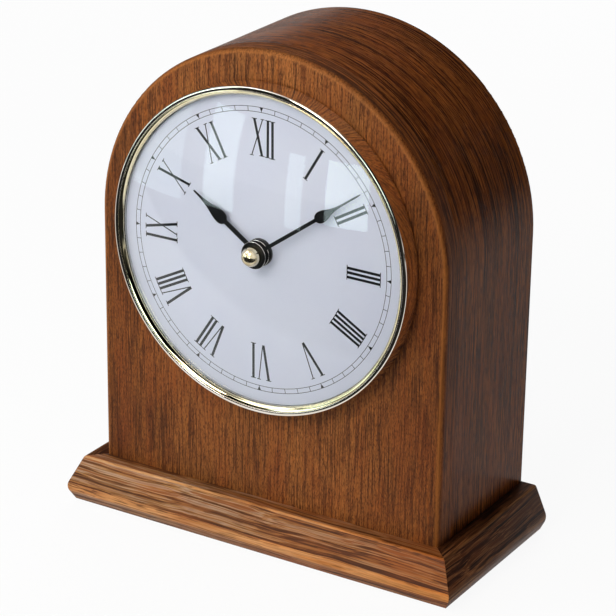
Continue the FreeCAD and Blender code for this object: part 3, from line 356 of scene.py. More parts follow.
plinthLook = {
    "bent": False, "axis": "x", "waver": 4.0, "ring": (1.5, 190), "fibre": (0.42, 34), "pore": (0.5, 9.0),
    "poreEdge": 0.47, "poreTone": "4A2814", "poreDark": 0.75, "poreBetween": 0.25,
    "tones": [(0.4, "4E2C18"), (0.45, "80502C"), (0.5, "9A693A"), (0.55, "A4846C"), (0.61, "8A5228")],
    "redder": "9A4E1A", "redShare": 0.4, "fine": (0.72, 1.22), "slow": (0.86, 1.1),
    "shades": [("along", -30, 75, "FFFFFF", "F2D2A8")],
    "gloss": (0.4, 0.55), "relief": 0.5, "shine": 0.14,
}
mouldingFront = stainedWood("stained_ash_moulding_front", plinthLook)
# a lighter copy of the moulding's stain for the ledge's arris and the nose: a painted highlight
mouldingHighlightLook = dict(plinthLook, tones=[(0.34, "98603A"), (0.5, "C68A54"), (0.66, "CEA074")])
mouldingFrontHighlight = stainedWood("stained_ash_moulding_front_painted_highlight", mouldingHighlightLook)
# the side mouldings are a darker copy of the front moulding's stain, painted shade, and they grow darker
# still towards the corner under the case, painted shade too
shadedSideLook = dict(plinthLook, axis="y", redder="5A2A10", ring=(1.2, 110), fine=(0.6, 1.3), shine=0.1,
                shades=[("aside", 78, 84.5, "7A6C62", "FFFFFF")],
                tones=[(0.42, "1E0E06"), (0.48, "4A2A16"), (0.53, "8A5A38"), (0.57, "542E16")])
mouldingSideShaded = stainedWood("stained_ash_moulding_side_painted_shade", shadedSideLook)
# the rail behind takes the side mouldings' darker tones, painted shade, but not their corner's darkening
railShadedLook = dict(shadedSideLook, axis="x", shades=[])
mouldingRailShaded = stainedWood("stained_ash_rail_painted_shade", railShadedLook)
# a lighter copy of the side mouldings' stain for their ledge's arris and nose: a painted highlight
sideHighlightLook = dict(shadedSideLook, tones=[(0.36, "4A2C18"), (0.5, "7E5230"), (0.64, "90663E")])
mouldingSideHighlight = stainedWood("stained_ash_moulding_side_painted_highlight", sideHighlightLook)


sawnWood = {"run": 40, "spread": (0.3, 0.5, 0.7), "strength": 0.4, "depth": 0.1}


def plainWood(name, axis, size, tones):
    # wood left as sawn: pale, with soft long grain and no gloss
    finish, tree, shader = newFinish(name, {"Roughness": 0.75, "Specular IOR Level": 0.3})
    place = addNode(tree, "ShaderNodeTexCoord", {}, "Object")
    grain = grained(tree, place, axis, size, sawnWood["run"], 5.0, 0.6)
    stops = list(zip(sawnWood["spread"], tones))
    tone = addNode(tree, "ShaderNodeValToRGB", {"stops": stops, 0: grain})
    tree.links.new(tone, shader.inputs["Base Color"])
    bump = {"Strength": sawnWood["strength"], "Distance": sawnWood["depth"] * mm, "Height": grain}
    tree.links.new(addNode(tree, "ShaderNodeBump", bump), shader.inputs["Normal"])
    return finish


# birch plywood, pale and even; pine with stronger lines; and thin plywood with a dark flat stain
plywood = plainWood("birch_plywood", "x", 1.6, ("A88358", "C2A074", "B4905F"))
softwood = plainWood("pine_block", "z", 1.8, ("B98F5C", "D2AE7C", "C29A66"))
backWood = plainWood("stained_plywood_back", "z", 1.2, ("3C2517", "53351F", "472C1B"))


# the shares of the clouds between which the tone and the gloss change
cloudSpread = {"tones": (0.35, 0.65), "gloss": (0.3, 0.7)}


def cloudy(name, look):
    # a finish with faint clouds in its tone and gloss and a fine grain in its surface, sizes in millimetres
    finish, tree, shader = newFinish(name, look["shader"])
    place = addNode(tree, "ShaderNodeTexCoord", {}, "Object")
    clouds = {"Vector": place, "Scale": 1 / (look["cloud"] * mm), "Detail": 3.0}
    clouds = addNode(tree, "ShaderNodeTexNoise", clouds)
    stops = list(zip(cloudSpread["tones"], look["tones"]))
    tone = addNode(tree, "ShaderNodeValToRGB", {"stops": stops, 0: clouds})
    tree.links.new(tone, shader.inputs["Base Color"])
    start, end = cloudSpread["gloss"]
    gloss = {0: clouds, 1: start, 2: end, 3: look["gloss"][0], 4: look["gloss"][1]}
    tree.links.new(addNode(tree, "ShaderNodeMapRange", gloss), shader.inputs["Roughness"])
    if "grain" in look:
        size, strength, height = look["grain"]
        grain = {"Vector": place, "Scale": 1 / (size * mm), "Detail": 2.0}
        grain = addNode(tree, "ShaderNodeTexNoise", grain)
        bump = {"Strength": strength, "Distance": height * mm, "Height": grain}
        tree.links.new(addNode(tree, "ShaderNodeBump", bump), shader.inputs["Normal"])
    return finish


metal = {"Metallic": 1.0}

# brass pressing plated pale gold and polished: mirror-like with the faintest clouds
gilt = cloudy("polished_gilt_brass", {
    "shader": metal, "cloud": 18, "tones": ("F1E8D8", "F6EFE4"), "gloss": (0.05, 0.09),
})
# the same plating over the bezel's inner belly, where it lies thicker and looks more golden
giltBelly = cloudy("polished_gilt_brass_belly", {
    "shader": metal, "cloud": 12, "tones": ("ECDFB4", "F2E8CA"), "gloss": (0.05, 0.09),
})
# tinned steel ring, bright but less sharp
silver = cloudy("bright_tinned_steel", {
    "shader": metal, "cloud": 9, "tones": ("D0D2CE", "DDDEDB"), "gloss": (0.18, 0.28),
})
# brass turned and polished: a warm mirror
brass = cloudy("polished_brass", {
    "shader": metal, "cloud": 3, "tones": ("DACAA2", "E8DCC0"), "gloss": (0.07, 0.12),
})
# nickel plated cut edge of the hands' discs: a thin bright line
nickel = cloudy("nickel_edge", {
    "shader": metal, "cloud": 2, "tones": ("D8D5D0", "E6E4E0"), "gloss": (0.2, 0.3),
})
# aluminium dial with a satin white print: cool white, with no sharp reflection
dialPaint = cloudy("satin_white_dial_print", {
    "shader": {"IOR": 1.45}, "cloud": 30, "tones": ("DADDEE", "DEE1F0"), "gloss": (0.42, 0.5),
    "grain": (0.25, 0.12, 0.02),
})
# screen-printed ink, a little glossier than the white
ink = cloudy("black_dial_ink", {
    "shader": {"IOR": 1.45, "Specular IOR Level": 0.2}, "cloud": 5, "tones": ("0C0C12", "121218"),
    "gloss": (0.4, 0.5),
})
# steel sheet, stoved satin black: an even soft sheen
blackPaint = cloudy("stoved_black_steel", {
    "shader": {"IOR": 1.5, "Specular IOR Level": 0.3}, "cloud": 6, "tones": ("0A0A0C", "101013"),
    "gloss": (0.3, 0.42), "grain": (0.15, 0.2, 0.02),
})
# pressed sheet with a dull zinc coat: cloudy grey
panMetal = cloudy("zinc_coated_sheet", {
    "shader": metal, "cloud": 8, "tones": ("A9ABAD", "BCBDBE"), "gloss": (0.4, 0.55),
})
# zinc plated screws, slightly yellow
zinc = cloudy("zinc_plated_steel", {
    "shader": metal, "cloud": 1.5, "tones": ("B9B3A0", "CBC8BE"), "gloss": (0.28, 0.42),
})
# nickel plated spring strip, duller than the discs' edges
contact = cloudy("nickel_plated_strip", {
    "shader": metal, "cloud": 3, "tones": ("BDBBB2", "CFCDC6"), "gloss": (0.25, 0.35),
})
# ABS moulded in a spark-eroded tool: dull black with a fine texture
blackAbs = cloudy("moulded_black_abs", {
    "shader": {"IOR": 1.5}, "cloud": 10, "tones": ("121214", "19191B"), "gloss": (0.48, 0.6),
    "grain": (0.35, 0.35, 0.05),
})
# natural acetal, moulded: milky white that lets a little light in
acetal = cloudy("white_acetal", {
    "shader": {"IOR": 1.48, "Subsurface Weight": 0.1}, "cloud": 4, "tones": ("D9D8CF", "E4E3DB"),
    "gloss": (0.35, 0.45),
})
# moulded rubber: flat black
rubber = cloudy("black_rubber", {
    "shader": {"IOR": 1.5}, "cloud": 3, "tones": ("101010", "181818"), "gloss": (0.7, 0.85),
    "grain": (0.3, 0.4, 0.05),
})
# pressed wool felt: no gloss and a soft nap, drawn a little coarser than it is so that it shows
felt = cloudy("brown_felt", {
    "shader": {"Specular IOR Level": 0.1, "Sheen Weight": 0.4}, "cloud": 1.2, "tones": ("1E1712", "33281F"),
    "gloss": (0.9, 1.0), "grain": (0.5, 0.9, 0.3),
})
# shrunk polyester film on the cell: plain grey under a clear gloss
jacket = cloudy("battery_film_jacket", {
    "shader": {"Coat Weight": 0.3}, "cloud": 12, "tones": ("777B83", "83878F"), "gloss": (0.25, 0.32),
})
# glass-fibre laminate under green solder resist: smooth and a little glossy
laminate = cloudy("green_resin_laminate", {
    "shader": {"IOR": 1.5}, "cloud": 4, "tones": ("1B4A28", "235A32"), "gloss": (0.3, 0.4),
})
# enamelled copper wire, wound: a warm metallic gleam
copper = cloudy("enamelled_copper_wire", {
    "shader": metal, "cloud": 2, "tones": ("A85A2C", "C0703C"), "gloss": (0.3, 0.4),
})

# clear float glass slumped to a dome, faintly grey in its reflections
clearGlass = newFinish("clear_domed_glass", {
    "Base Color": "FFFFFF", "Roughness": 0.0, "IOR": 1.5, "Transmission Weight": 1.0,
    "Specular Tint": "A8ACAE",
})[0]

finishes = {
    "front_panel": veneerFront, "case_shell": veneerCase, "back_board": backWood, "bottom_board": plywood,
    "glue_block_left": softwood, "glue_block_right": softwood, "plinth_front": mouldingFront,
    "plinth_left": mouldingSideShaded, "plinth_right": mouldingSideShaded, "plinth_rail": mouldingRailShaded,
    "plinth_board": plywood, "felt_pads": felt, "back_screws": zinc, "case_screws": zinc,
    "pan_screws": zinc, "bezel": gilt, "glass": clearGlass, "glass_ring": silver, "dial_plate": dialPaint,
    "dial_pan": panMetal, "rubber_washer": rubber, "fixing_nut": blackPaint, "threaded_bush": brass,
    "movement_cover": blackAbs, "movement_case": blackAbs, "minute_arbor": brass, "hour_wheel": acetal,
    "motion_wheel": acetal, "setting_pinion": acetal, "setting_knob": blackAbs, "hour_hand": blackPaint,
    "minute_hand": blackPaint, "cap_nut": brass, "battery": jacket, "plus_contact": contact,
    "minus_contact": contact, "circuit_board": laminate, "coil": copper, "crystal": contact,
}
for name, finish in finishes.items():
    for place in nodes[name].material_slots:
        place.material = finish
print("finishes made:", len(bpy.data.materials))


# reaches are measured outwards from the case; a cut is how far a rounding starts from its corner; a painted
# highlight, a lighter copy of the stain, lies on the faces in a band at the ledge and at the nose, where
# their normals point this far up and out
plinth = {
    "seat": 12.2, "ledge": 6.4, "ledgeCut": 0.77, "nose": 12.2, "noseRise": 5.9, "noseCut": 2.3, "foot": 9.2,
    "arris": 0.12, "ledgeBand": 1.2, "ledgeUp": (0.2, 0.98), "ledgeOut": 0.1,
    "noseBand": 2.2, "noseUp": (-0.45, 0.3), "noseOut": 0.5,
}


def mouldingSection(across, outward):
    # section corners as distance across and height, with the rounding of the nose and of the ledge
    low = clock["floorGap"]
    return [
        (across - plinth["seat"] * outward, low),
        (across + plinth["foot"] * outward, low),
        (across + plinth["nose"] * outward, low + plinth["noseRise"], plinth["noseCut"], 10),
        (across + plinth["ledge"] * outward, clock["ledgeZ"], plinth["ledgeCut"], 5),
        (across - plinth["seat"] * outward, clock["ledgeZ"]),
    ]


def makeMoulding(name, corners, place, run, mitres, node, finishes, outward):
    places = [place(*corner[:2]) for corner in corners]
    piece = startPoint(name, places[0])
    drawLine(places + places[:1])
    bpy.ops.mesh.select_all(action="SELECT")
    bpy.ops.mesh.remove_doubles(threshold=weld)
    for corner, spot in zip(corners, places):
        if len(corner) > 2:
            roundPoint(spot, *corner[2:])
    bpy.ops.mesh.select_all(action="SELECT")
    bpy.ops.mesh.edge_face_add()
    extrudeBy(run)
    for spot, normal in mitres:
        bpy.ops.mesh.select_all(action="SELECT")
        bpy.ops.mesh.bisect(plane_co=spot, plane_no=normal, use_fill=True, clear_outer=True)
    cleanUp()
    bevel = piece.modifiers.new("arris", "BEVEL")
    bevel.width = plinth["arris"] * mm
    bevel.segments = 2
    bevel.limit_method = "ANGLE"
    bevel.angle_limit = math.radians(30)
    bpy.ops.object.modifier_apply(modifier="arris")
    # the faces that turn from the ledge to the slope, and round the nose: they get the lighter copy of the
    # stain, a painted highlight
    ledge, nose = clock["ledgeZ"] * mm, (clock["floorGap"] + plinth["noseRise"]) * mm
    ledgeLow, ledgeHigh = plinth["ledgeUp"]
    noseLow, noseHigh = plinth["noseUp"]

    def getsPaintedHighlight(centre, normal):
        out = normal.dot(outward)
        atLedge = centre.z > ledge - plinth["ledgeBand"] * mm and ledgeLow < normal.z < ledgeHigh
        atNose = abs(centre.z - nose) < plinth["noseBand"] * mm and noseLow < normal.z < noseHigh
        return (atLedge and out > plinth["ledgeOut"]) or (atNose and out > plinth["noseOut"])

    piece.data.materials.append(finishes[0])
    piece.data.materials.append(finishes[1])
    setMode("EDIT")
    pick("FACE", getsPaintedHighlight)
    piece.active_material_index = 1
    bpy.ops.object.material_slot_assign()
    setMode("OBJECT")
    finishPiece(piece, "case", finishes, [node])
    return piece


half, reach = clock["halfWidth"], clock["halfWidth"] + plinth["nose"]
front = clock["faceY"] - plinth["nose"]
corner = {-1: at(-reach, front, 0), 1: at(reach, front, 0)}
makeMoulding("plinthFrontMoulding", mouldingSection(clock["faceY"], -1), lambda y, z: at(-reach, y, z),
             at(2 * reach, 0, 0), [(corner[-1], (-1, 1, 0)), (corner[1], (1, 1, 0))], "plinth_front",
             [mouldingFront, mouldingFrontHighlight], Vector((0, -1, 0)))
for side, label in ((-1, "Left"), (1, "Right")):
    makeMoulding("plinth" + label + "Moulding", mouldingSection(half * side, side),
                 lambda x, z: at(x, clock["rearY"], z), at(0, front - clock["rearY"], 0),
                 [(corner[side], (-side, -1, 0))], "plinth_" + label.lower(),
                 [mouldingSideShaded, mouldingSideHighlight], Vector((side, 0, 0)))
print("plinth made")


bezelShape = {
    "corners": [
        (64.7, 0.0), (64.85, 0.0), (64.85, 0.55), (65.5, 0.55), (65.7, 0.75), (65.3, 8.85, 0.62, 8),
        (63.78, 8.85, 0.12, 4), (63.6, 8.45), (63.42, 8.85, 0.12, 4), (62.66, 8.53, 0.3, 5),
        (61.9, 7.6, 0.1, 3), (61.9, 7.3), (63.42, 7.85), (64.7, 7.85),
    ],
    "steps": 256, "bellyRadius": 63.5,
}
bezel = spunPiece("bezelRing", bezelShape["corners"], bezelShape["steps"])
bezel.data.materials.append(gilt)
bezel.data.materials.append(giltBelly)
setMode("EDIT")
pick("FACE", lambda centre, normal: fromAxis(centre) < bezelShape["bellyRadius"] * mm)
bezel.active_material_index = 1
bpy.ops.object.material_slot_assign()
setMode("OBJECT")
finishPiece(bezel, "case", [gilt, giltBelly], ["bezel"])

glassShape = {
    "apex": 18.0, "lip": 7.3, "lipRadius": 61.9, "thickness": 1.5, "edge": 63.2, "rings": 40, "steps": 192,
}
sag = glassShape["apex"] - glassShape["lip"]
sphere = (glassShape["lipRadius"] ** 2 + sag ** 2) / (2 * sag)


def domeRise(radius, inward):
    # the height of the dome's sphere, or of the sphere inside it, over the wooden face
    return glassShape["apex"] - sphere + math.sqrt((sphere - inward) ** 2 - radius ** 2)


radii = [glassShape["edge"] * i / glassShape["rings"] for i in range(glassShape["rings"] + 1)]
domeCorners = [(radius, domeRise(radius, 0)) for radius in radii]
domeCorners += [(radius, domeRise(radius, glassShape["thickness"])) for radius in reversed(radii)]
dome = spunPiece("domedGlass", domeCorners, glassShape["steps"])
finishPiece(dome, "case", [clearGlass], ["glass"], angle=50)
print("bezel and glass made")


# the dial's print is a thin film of ink on the white plate; a hair is added where two films cross
dialPrint = {
    "rise": 4.895, "film": 0.03, "hair": 0.004,
    "thick": 1.06, "thin": 0.42, "serif": 0.3, "serifReach": 0.62,
    "outer": 52.35, "inner": 38.05, "measuredOuter": 52.0, "measuredInner": 38.0,
    "trackRadii": (56.9, 55.0), "trackLine": 0.2, "trackSteps": 240, "tick": 0.22,
    "pipWidth": 1.5, "pipPoint": 55.15,
}
# each stroke: its angle at the outer and at the inner end, its weight and the ends that have serifs
numerals = {
    30: [(30.5, 30.5, "thick", "both")],
    60: [(59.0, 58.6, "thick", "both"), (61.3, 61.7, "thick", "both")],
    90: [(88.3, 87.5, "thick", "both"), (90.3, 90.2, "thick", "both"), (92.3, 93.0, "thick", "both")],
    120: [(117.0, 115.7, "thick", "both"), (119.0, 118.6, "thick", "both"),
          (121.0, 121.5, "thick", "both"), (123.0, 124.4, "thick", "both")],
    150: [(147.3, 149.5, "thick", "outer"), (152.5, 150.0, "thin", "outer")],
    180: [(175.3, 177.5, "thick", "outer"), (180.2, 178.0, "thin", "outer"),
          (183.0, 184.3, "thick", "both")],
    210: [(204.5, 206.0, "thick", "outer"), (209.2, 206.5, "thin", "outer"),
          (211.5, 211.2, "thick", "both"), (213.7, 214.1, "thick", "both")],
    240: [(234.5, 235.8, "thick", "outer"), (239.4, 236.3, "thin", "outer"),
          (241.6, 241.0, "thick", "both"), (243.7, 243.9, "thick", "both"), (245.8, 246.8, "thick", "both")],
    270: [(266.3, 265.0, "thick", "both"), (269.9, 275.0, "thick", "both"), (274.8, 268.5, "thin", "both")],
    300: [(298.0, 302.6, "thick", "both"), (302.5, 296.0, "thin", "both")],
    330: [(326.8, 331.2, "thick", "both"), (331.6, 325.0, "thin", "both"), (334.8, 335.4, "thick", "both")],
    360: [(356.6, 360.6, "thick", "both"), (360.6, 353.8, "thin", "both"),
          (363.2, 364.4, "thick", "both"), (365.4, 367.6, "thick", "both")],
}


def addBar(start, end, width):
    # a flat bar in the plane of the dial: a point drawn across, and the edge drawn along
    along = (end - start).normalized()
    across = along.cross(Vector((0, 1, 0))) * (width * mm)
    bpy.ops.mesh.primitive_plane_add(size=mm, location=start - across / 2)
    bpy.ops.mesh.merge(type="COLLAPSE")
    extrudeBy(across)
    bpy.ops.mesh.select_linked()
    extrudeBy(end - start)


def raiseFilm(piece, film):
    bpy.ops.mesh.select_all(action="SELECT")
    extrudeBy((0, -film * mm, 0))
    cleanUp()
    return piece


def inkPiece(name):
    # an empty piece, open for its first bars
    piece = startPoint(name, onDial(0, 0, dialPrint["rise"]))
    bpy.ops.mesh.delete(type="VERT")
    return piece


def numeralEnd(angle, radius, nominal, measured):
    # strokes keep their spacing when an end is moved out from where its angle was measured
    return onDial(radius, nominal + (angle - nominal) * measured / radius, dialPrint["rise"])


films = {"thick": [], "thin": [], "serif": []}
for nominal, strokes in numerals.items():
    sideways = onDial(1, nominal + 90, 0) - onDial(0, 0, 0)
    for outerAngle, innerAngle, weight, ends in strokes:
        outer = numeralEnd(outerAngle, dialPrint["outer"], nominal, dialPrint["measuredOuter"])
        inner = numeralEnd(innerAngle, dialPrint["inner"], nominal, dialPrint["measuredInner"])
        films[weight].append((inner, outer, dialPrint[weight]))
        foot = sideways * (dialPrint[weight] / 2 + dialPrint["serifReach"])
        films["serif"].append((outer - foot, outer + foot, dialPrint["serif"]))
        if ends == "both":
            films["serif"].append((inner - foot, inner + foot, dialPrint["serif"]))
pieces = []
for count, (kind, bars) in enumerate(films.items()):
    piece = inkPiece("ink_" + kind)
    for bar in bars:
        addBar(*bar)
    # each kind of stroke is a hair thicker than the last, so that no two share a face
    pieces.append(raiseFilm(piece, dialPrint["film"] + dialPrint["hair"] * count))
numeralsPiece = joined(pieces)
numeralsPiece.name = numeralsPiece.data.name = "dialNumerals"
finishPiece(numeralsPiece, "case", [ink])

rise, film, hair = dialPrint["rise"], dialPrint["film"], dialPrint["hair"]
aroundAxis = {"center": onAxis(0, 0), "axis": (0, 1, 0)}
pieces = []
for radius in dialPrint["trackRadii"]:
    piece = startPoint("ring", onDial(radius - dialPrint["trackLine"] / 2, 0, rise))
    extrudeBy((0, 0, dialPrint["trackLine"] * mm))
    bpy.ops.mesh.select_all(action="SELECT")
    bpy.ops.mesh.spin(steps=dialPrint["trackSteps"], angle=2 * math.pi, **aroundAxis)
    bpy.ops.mesh.select_all(action="SELECT")
    bpy.ops.mesh.remove_doubles(threshold=weld)
    pieces.append(raiseFilm(piece, film))
outerTrack, innerTrack = dialPrint["trackRadii"]
piece = inkPiece("ticks")
addBar(onDial(innerTrack, 0, rise), onDial(outerTrack, 0, rise), dialPrint["tick"])
bpy.ops.mesh.select_all(action="SELECT")
bpy.ops.mesh.spin(steps=59, dupli=True, angle=math.radians(354), **aroundAxis)
pieces.append(raiseFilm(piece, film + hair))
# each hour has a small wedge whose point lies inwards
piece = inkPiece("pips")
addBar(onDial(dialPrint["pipPoint"], 0, rise), onDial(outerTrack, 0, rise), dialPrint["pipWidth"])
middle = (dialPrint["pipPoint"] + outerTrack) / 2
pick("VERT", lambda point: point.z < onDial(middle, 0, 0).z)
bpy.ops.mesh.merge(type="CENTER")
bpy.ops.mesh.select_all(action="SELECT")
bpy.ops.mesh.spin(steps=11, dupli=True, angle=math.radians(330), **aroundAxis)
pieces.append(raiseFilm(piece, film + 2 * hair))
track = joined(pieces)
track.name = track.data.name = "dialMinuteTrack"
finishPiece(track, "case", [ink])
print("dial print made")


# how far each hand's front lies before the wooden face, and the radius of its disc
hands = {
    "hour": {"node": "hour_hand", "front": 7.4, "disc": 5.3},
    "minute": {"node": "minute_hand", "front": 10.0, "disc": 5.4},
}
rim = {"width": 0.1, "slack": 0.05, "flatSlack": 0.02}
for body, hand in hands.items():
    piece = copiedNode(hand["node"], body + "Hand")
    centre, front = onAxis(0, hand["front"]), clock["faceY"] * mm - hand["front"] * mm

    def onRim(a, b):
        flat = max(abs(a.y - front), abs(b.y - front)) < rim["flatSlack"] * mm
        reaches = [(a - centre).length, (b - centre).length]
        far = min(reaches) > (hand["disc"] - rim["slack"]) * mm
        near = max(reaches) < (hand["disc"] + rim["slack"]) * mm
        return flat and far and near

    piece.data.materials.append(nickel)
    pick("EDGE", onRim)
    bpy.ops.mesh.bevel(offset=rim["width"] * mm, segments=1, material=1)
    setMode("OBJECT")
    finishPiece(piece, body, [blackPaint, nickel], [hand["node"]], angle=30)

capShape = {"corners": [(0.0, 10.0), (3.8, 10.0, 0.12, 2), (3.8, 14.8, 3.3, 14), (0.0, 14.8)], "steps": 64}
capNut = spunPiece("capNut", capShape["corners"], capShape["steps"])
finishPiece(capNut, "minute", [brass], ["cap_nut"], angle=50)
print("hands made")


def looseBoxes(node):
    # the lowest and highest corners of each of a node's loose solids
    piece = copiedNode(node, "probe")
    bpy.ops.mesh.select_all(action="SELECT")
    bpy.ops.mesh.separate(type="LOOSE")
    setMode("OBJECT")
    boxes = []
    for part in list(bpy.context.selected_objects):
        corners = [[point.co[i] for point in part.data.vertices] for i in range(3)]
        boxes.append((Vector([min(c) for c in corners]), Vector([max(c) for c in corners])))
        bpy.data.objects.remove(part)
    return boxes


# the screws have cross recesses, each left at its own turn
recess = {"length": 2.5, "width": 0.55, "depth": 0.8, "turn": 0.67}
for node, axis, name in (("back_screws", 1, "backScrews"), ("case_screws", 2, "caseScrews")):
    boxes = looseBoxes(node)
    cutter = startPoint("recessCutter", (0, 0, 0))
    bpy.ops.mesh.delete(type="VERT")
    for count, (low, high) in enumerate(boxes):
        head = (low + high) / 2
        head[axis] = high[axis] if axis == 1 else low[axis]
        for quarter in (0, math.pi / 2):
            bar = [recess["length"], recess["width"], recess["width"]]
            bar[axis] = recess["depth"] * 2
            turn = [0, 0, 0]
            turn[axis] = recess["turn"] * count + quarter
            bpy.ops.mesh.primitive_cube_add(size=mm, location=head, rotation=turn, scale=bar)
    setMode("OBJECT")
    screws = copiedNode(node, name)
    setMode("OBJECT")
    cut = screws.modifiers.new("recess", "BOOLEAN")
    cut.object = cutter
    cut.use_self = True
    bpy.ops.object.modifier_apply(modifier="recess")
    bpy.data.objects.remove(cutter)
    finishPiece(screws, "case", [zinc], [node], angle=30)

# the cell's film jacket leaves its steel ends bare: the faces that look more along the cell than this
endFacing = 0.6
cell = copiedNode("battery", "cellWithJacket")
cell.data.materials.append(contact)
pick("FACE", lambda centre, normal: abs(normal.x) > endFacing)
cell.active_material_index = 1
bpy.ops.object.material_slot_assign()
setMode("OBJECT")
finishPiece(cell, "cell", [jacket, contact], ["battery"], angle=40)
print("screws and cell made")


# a sheet of white paper; seen directly or through glass it is lifted to white. Mirrors show it white too,
# from its front edge, a hand's width in front of the clock, to its far end. Beyond them they show the dim
# floor of the room, which grows lighter to the right
paper = {
    "radius": 3.0, "behind": 0.4, "lift": 0.93, "frontEdge": -0.15, "slant": 0.27, "softness": 0.01,
    "farEnd": 1.2, "farFade": 0.2, "farShare": 0.1, "mirrored": 0.9,
    "roomFloor": 0.018, "roomRight": 0.5, "rightStart": 0.45, "rightEnd": 0.8,
}
bpy.ops.object.select_all(action="DESELECT")
middle = (0, paper["behind"], 0)
bpy.ops.mesh.primitive_circle_add(vertices=96, radius=paper["radius"], fill_type="NGON", location=middle)
floor = bpy.context.object
floor.name = "studioFloor"
sheet = {"Base Color": "EDEDED", "Roughness": 0.9, "Specular IOR Level": 0.1}
whitePaper, tree, shader = newFinish("white_paper_floor", sheet)
path = addNode(tree, "ShaderNodeLightPath", {}).node.outputs
spot = addNode(tree, "ShaderNodeNewGeometry", {}, "Position")
x, y, z = addNode(tree, "ShaderNodeSeparateXYZ", {0: spot}).node.outputs
room = {0: x, 1: paper["rightStart"], 2: paper["rightEnd"], 3: paper["roomFloor"], 4: paper["roomRight"]}
room = addNode(tree, "ShaderNodeMapRange", room)
edge = {"operation": "MULTIPLY_ADD", 0: x, 1: -paper["slant"], 2: y}
edge = addNode(tree, "ShaderNodeMath", edge)
low, high = paper["frontEdge"] - paper["softness"], paper["frontEdge"] + paper["softness"]
mirrored = {0: edge, 1: low, 2: high, 3: room, 4: paper["mirrored"]}
mirrored = addNode(tree, "ShaderNodeMapRange", mirrored)
reach = addNode(tree, "ShaderNodeVectorMath", {"operation": "LENGTH", 0: spot}, "Value")
near = {0: reach, 1: paper["farEnd"] - paper["farFade"], 2: paper["farEnd"], 3: 1.0, 4: paper["farShare"]}
near = addNode(tree, "ShaderNodeMapRange", near)
mirrored = addNode(tree, "ShaderNodeMath", {"operation": "MULTIPLY", 0: mirrored, 1: near})
# a ray that comes straight through the glass, with no mirror on its way, sees plain white
turns = {"operation": "SUBTRACT", 0: path["Ray Depth"], 1: path["Transmission Depth"]}
turned = addNode(tree, "ShaderNodeMath", turns)
glow = addNode(tree, "ShaderNodeMix", {0: turned, 2: 1.0, 3: mirrored})
white = addNode(tree, "ShaderNodeEmission", {"Strength": glow})
plainly = {"operation": "MAXIMUM", 0: path["Is Camera Ray"], 1: path["Is Transmission Ray"]}
plainly = addNode(tree, "ShaderNodeMath", plainly)
lifted = addNode(tree, "ShaderNodeMath", {"operation": "MULTIPLY", 0: plainly, 1: paper["lift"]})
lifted = addNode(tree, "ShaderNodeMath", {"operation": "MAXIMUM", 0: lifted, 1: path["Is Glossy Ray"]})
blend = addNode(tree, "ShaderNodeMixShader", {0: lifted, 1: shader.outputs[0], 2: white})
tree.links.new(blend, tree.nodes["Material Output"].inputs[0])
floor.data.materials.append(whitePaper)

studio = bpy.data.worlds.new("studio")
bpy.context.scene.world = studio
studio.use_nodes = True
tree = studio.node_tree
path = addNode(tree, "ShaderNodeLightPath", {}).node.outputs
way = addNode(tree, "ShaderNodeTexCoord", {}, "Generated")
x, y, z = addNode(tree, "ShaderNodeSeparateXYZ", {0: way}).node.outputs
# in metal and glass the room is white behind the clock, and dim in front of it, above it and to its right;
# each row gives the share of the light by how far a ray leans that way
room = [
    (y, [(-0.45, 0.025), (0.05, 1.0)]),
    (z, [(0.0, 1.0), (0.18, 0.06), (0.7, 0.06), (0.85, 0.9)]),
    (x, [(0.05, 1.0), (0.4, 0.1), (0.7, 0.1), (0.9, 0.8)]),
]
mirrored = None
for direction, stops in room:
    lean = addNode(tree, "ShaderNodeMapRange", {0: direction, 1: -1.0})
    stops = [((way + 1) / 2, light) for way, light in stops]
    share = addNode(tree, "ShaderNodeValToRGB", {"stops": stops, 0: lean})
    if mirrored is not None:
        share = addNode(tree, "ShaderNodeMath", {"operation": "MULTIPLY", 0: mirrored, 1: share})
    mirrored = share
# all else gets a soft light, which weakens from the left to the right
softLight = {"from": -0.6, "to": 0.4, "left": 0.32, "right": 0.05}
soft = {0: x, 1: softLight["from"], 2: softLight["to"], 3: softLight["left"], 4: softLight["right"]}
soft = addNode(tree, "ShaderNodeMapRange", soft)
light = addNode(tree, "ShaderNodeMix", {0: path["Is Glossy Ray"], 2: soft, 3: mirrored})
plainly = {"operation": "MAXIMUM", 0: path["Is Camera Ray"], 1: path["Is Transmission Ray"]}
plainly = addNode(tree, "ShaderNodeMath", plainly)
light = addNode(tree, "ShaderNodeMix", {0: plainly, 2: light, 3: 1.0})
backdrop = tree.nodes["Background"]
tree.links.new(light, backdrop.inputs["Strength"])
backdrop.inputs["Color"].default_value = (1, 1, 1, 1)

# soft boxes light the clock from the front, the left and the back, and all aim low at its middle
lampAim = (0.0, 0.0, 0.1)
lamps = {
    "keyBox": {"place": (-0.1, -1.3, 1.05), "size": (0.7, 0.7), "power": 16.0, "tone": "FFFAF2"},
    "leftBox": {"place": (-1.0, -0.75, 1.4), "size": (0.9, 0.9), "power": 6.5, "tone": "F6FAFF"},
    "rearBox": {"place": (-0.5, 1.3, 0.75), "size": (0.8, 0.8), "power": 8.0, "tone": "F8FAFF"},
}
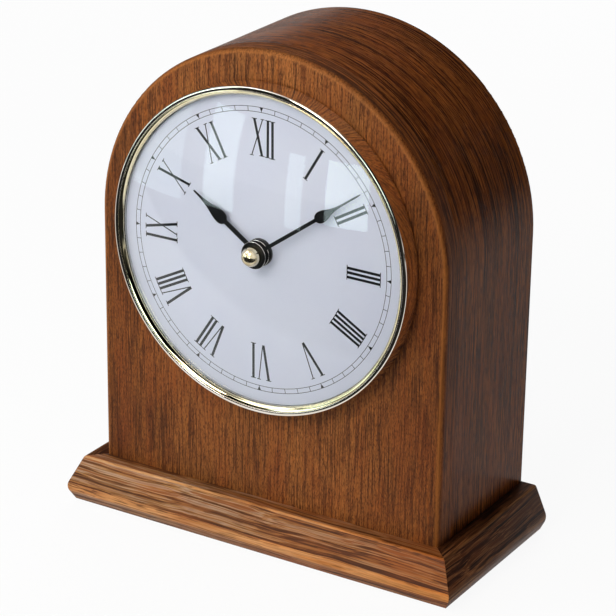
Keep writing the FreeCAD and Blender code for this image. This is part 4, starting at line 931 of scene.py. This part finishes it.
# four dim panes stand low in front of it for the dome to mirror: the degrees that their edges turn and rise
# from the dial's axis, seen from the dial
paneReach, paneTone = 0.72, "E4F8F6"
panes = {
    "paneLeft": {"turns": (-44.3, -34.3), "rises": (-9.0, 15.0), "glow": 3.6},
    "paneMiddle": {"turns": (-18.2, -13.4), "rises": (-9.6, 10.0), "glow": 3.4},
    "paneSide": {"turns": (-74.0, -52.0), "rises": (-16.0, 24.0), "glow": 1.5},
    "paneRight": {"turns": (-6.5, 5.8), "rises": (-7.0, 10.5), "glow": 5.6},
}
for name, pane in panes.items():
    left, right = [math.radians(turn) for turn in pane["turns"]]
    low, high = [math.radians(rise) for rise in pane["rises"]]
    middle = (left + right) / 2
    wide = 2 * paneReach * math.tan((right - left) / 2)
    foot, head = paneReach * math.tan(low), paneReach * math.tan(high)
    height = clock["dialZ"] * mm + (foot + head) / 2
    place = (paneReach * math.sin(middle), clock["faceY"] * mm - paneReach * math.cos(middle), height)
    lamps[name] = {
        "place": place, "aim": (0.0, clock["faceY"] * mm, height), "size": (wide, head - foot),
        "power": pane["glow"] * math.pi * wide * (head - foot), "tone": paneTone,
    }
for name, lamp in lamps.items():
    aim = Vector(lamp.get("aim", lampAim)) - Vector(lamp["place"])
    turn = aim.to_track_quat("-Z", "Y").to_euler()
    bpy.ops.object.light_add(type="AREA", location=lamp["place"], rotation=turn)
    light = bpy.context.object
    light.name = name
    light.visible_camera = False
    light.visible_glossy = name != "rearBox"
    light.data.shape = "RECTANGLE"
    light.data.size, light.data.size_y = lamp["size"]
    light.data.energy = lamp["power"]
    light.data.color = linear(lamp["tone"])[:3]

# the camera solved from the photograph: angles in radians, place in metres, lens and sensor in millimetres
view = {
    "azimuth": 0.5452289638, "elevation": 0.3852990709, "roll": 0.0140745065,
    "place": (0.49102, -0.80565, 0.47552), "lens": 151.35, "sensor": 36,
}
az, el, roll = view["azimuth"], view["elevation"], view["roll"]
ahead = Vector((-math.sin(az) * math.cos(el), math.cos(az) * math.cos(el), -math.sin(el)))
right = ahead.cross(Vector((0, 0, 1))).normalized()
up = right.cross(ahead)
rolledRight = right * math.cos(roll) + up * math.sin(roll)
rolledUp = up * math.cos(roll) - right * math.sin(roll)
turn = Matrix((rolledRight, rolledUp, -ahead)).transposed().to_4x4()
bpy.ops.object.camera_add()
camera = bpy.context.object
camera.matrix_world = Matrix.Translation(view["place"]) @ turn
camera.data.lens = view["lens"]
camera.data.sensor_width = view["sensor"]
bpy.context.scene.camera = camera
bpy.context.scene.view_settings.view_transform = "Standard"
print("stage, lamps and camera set")
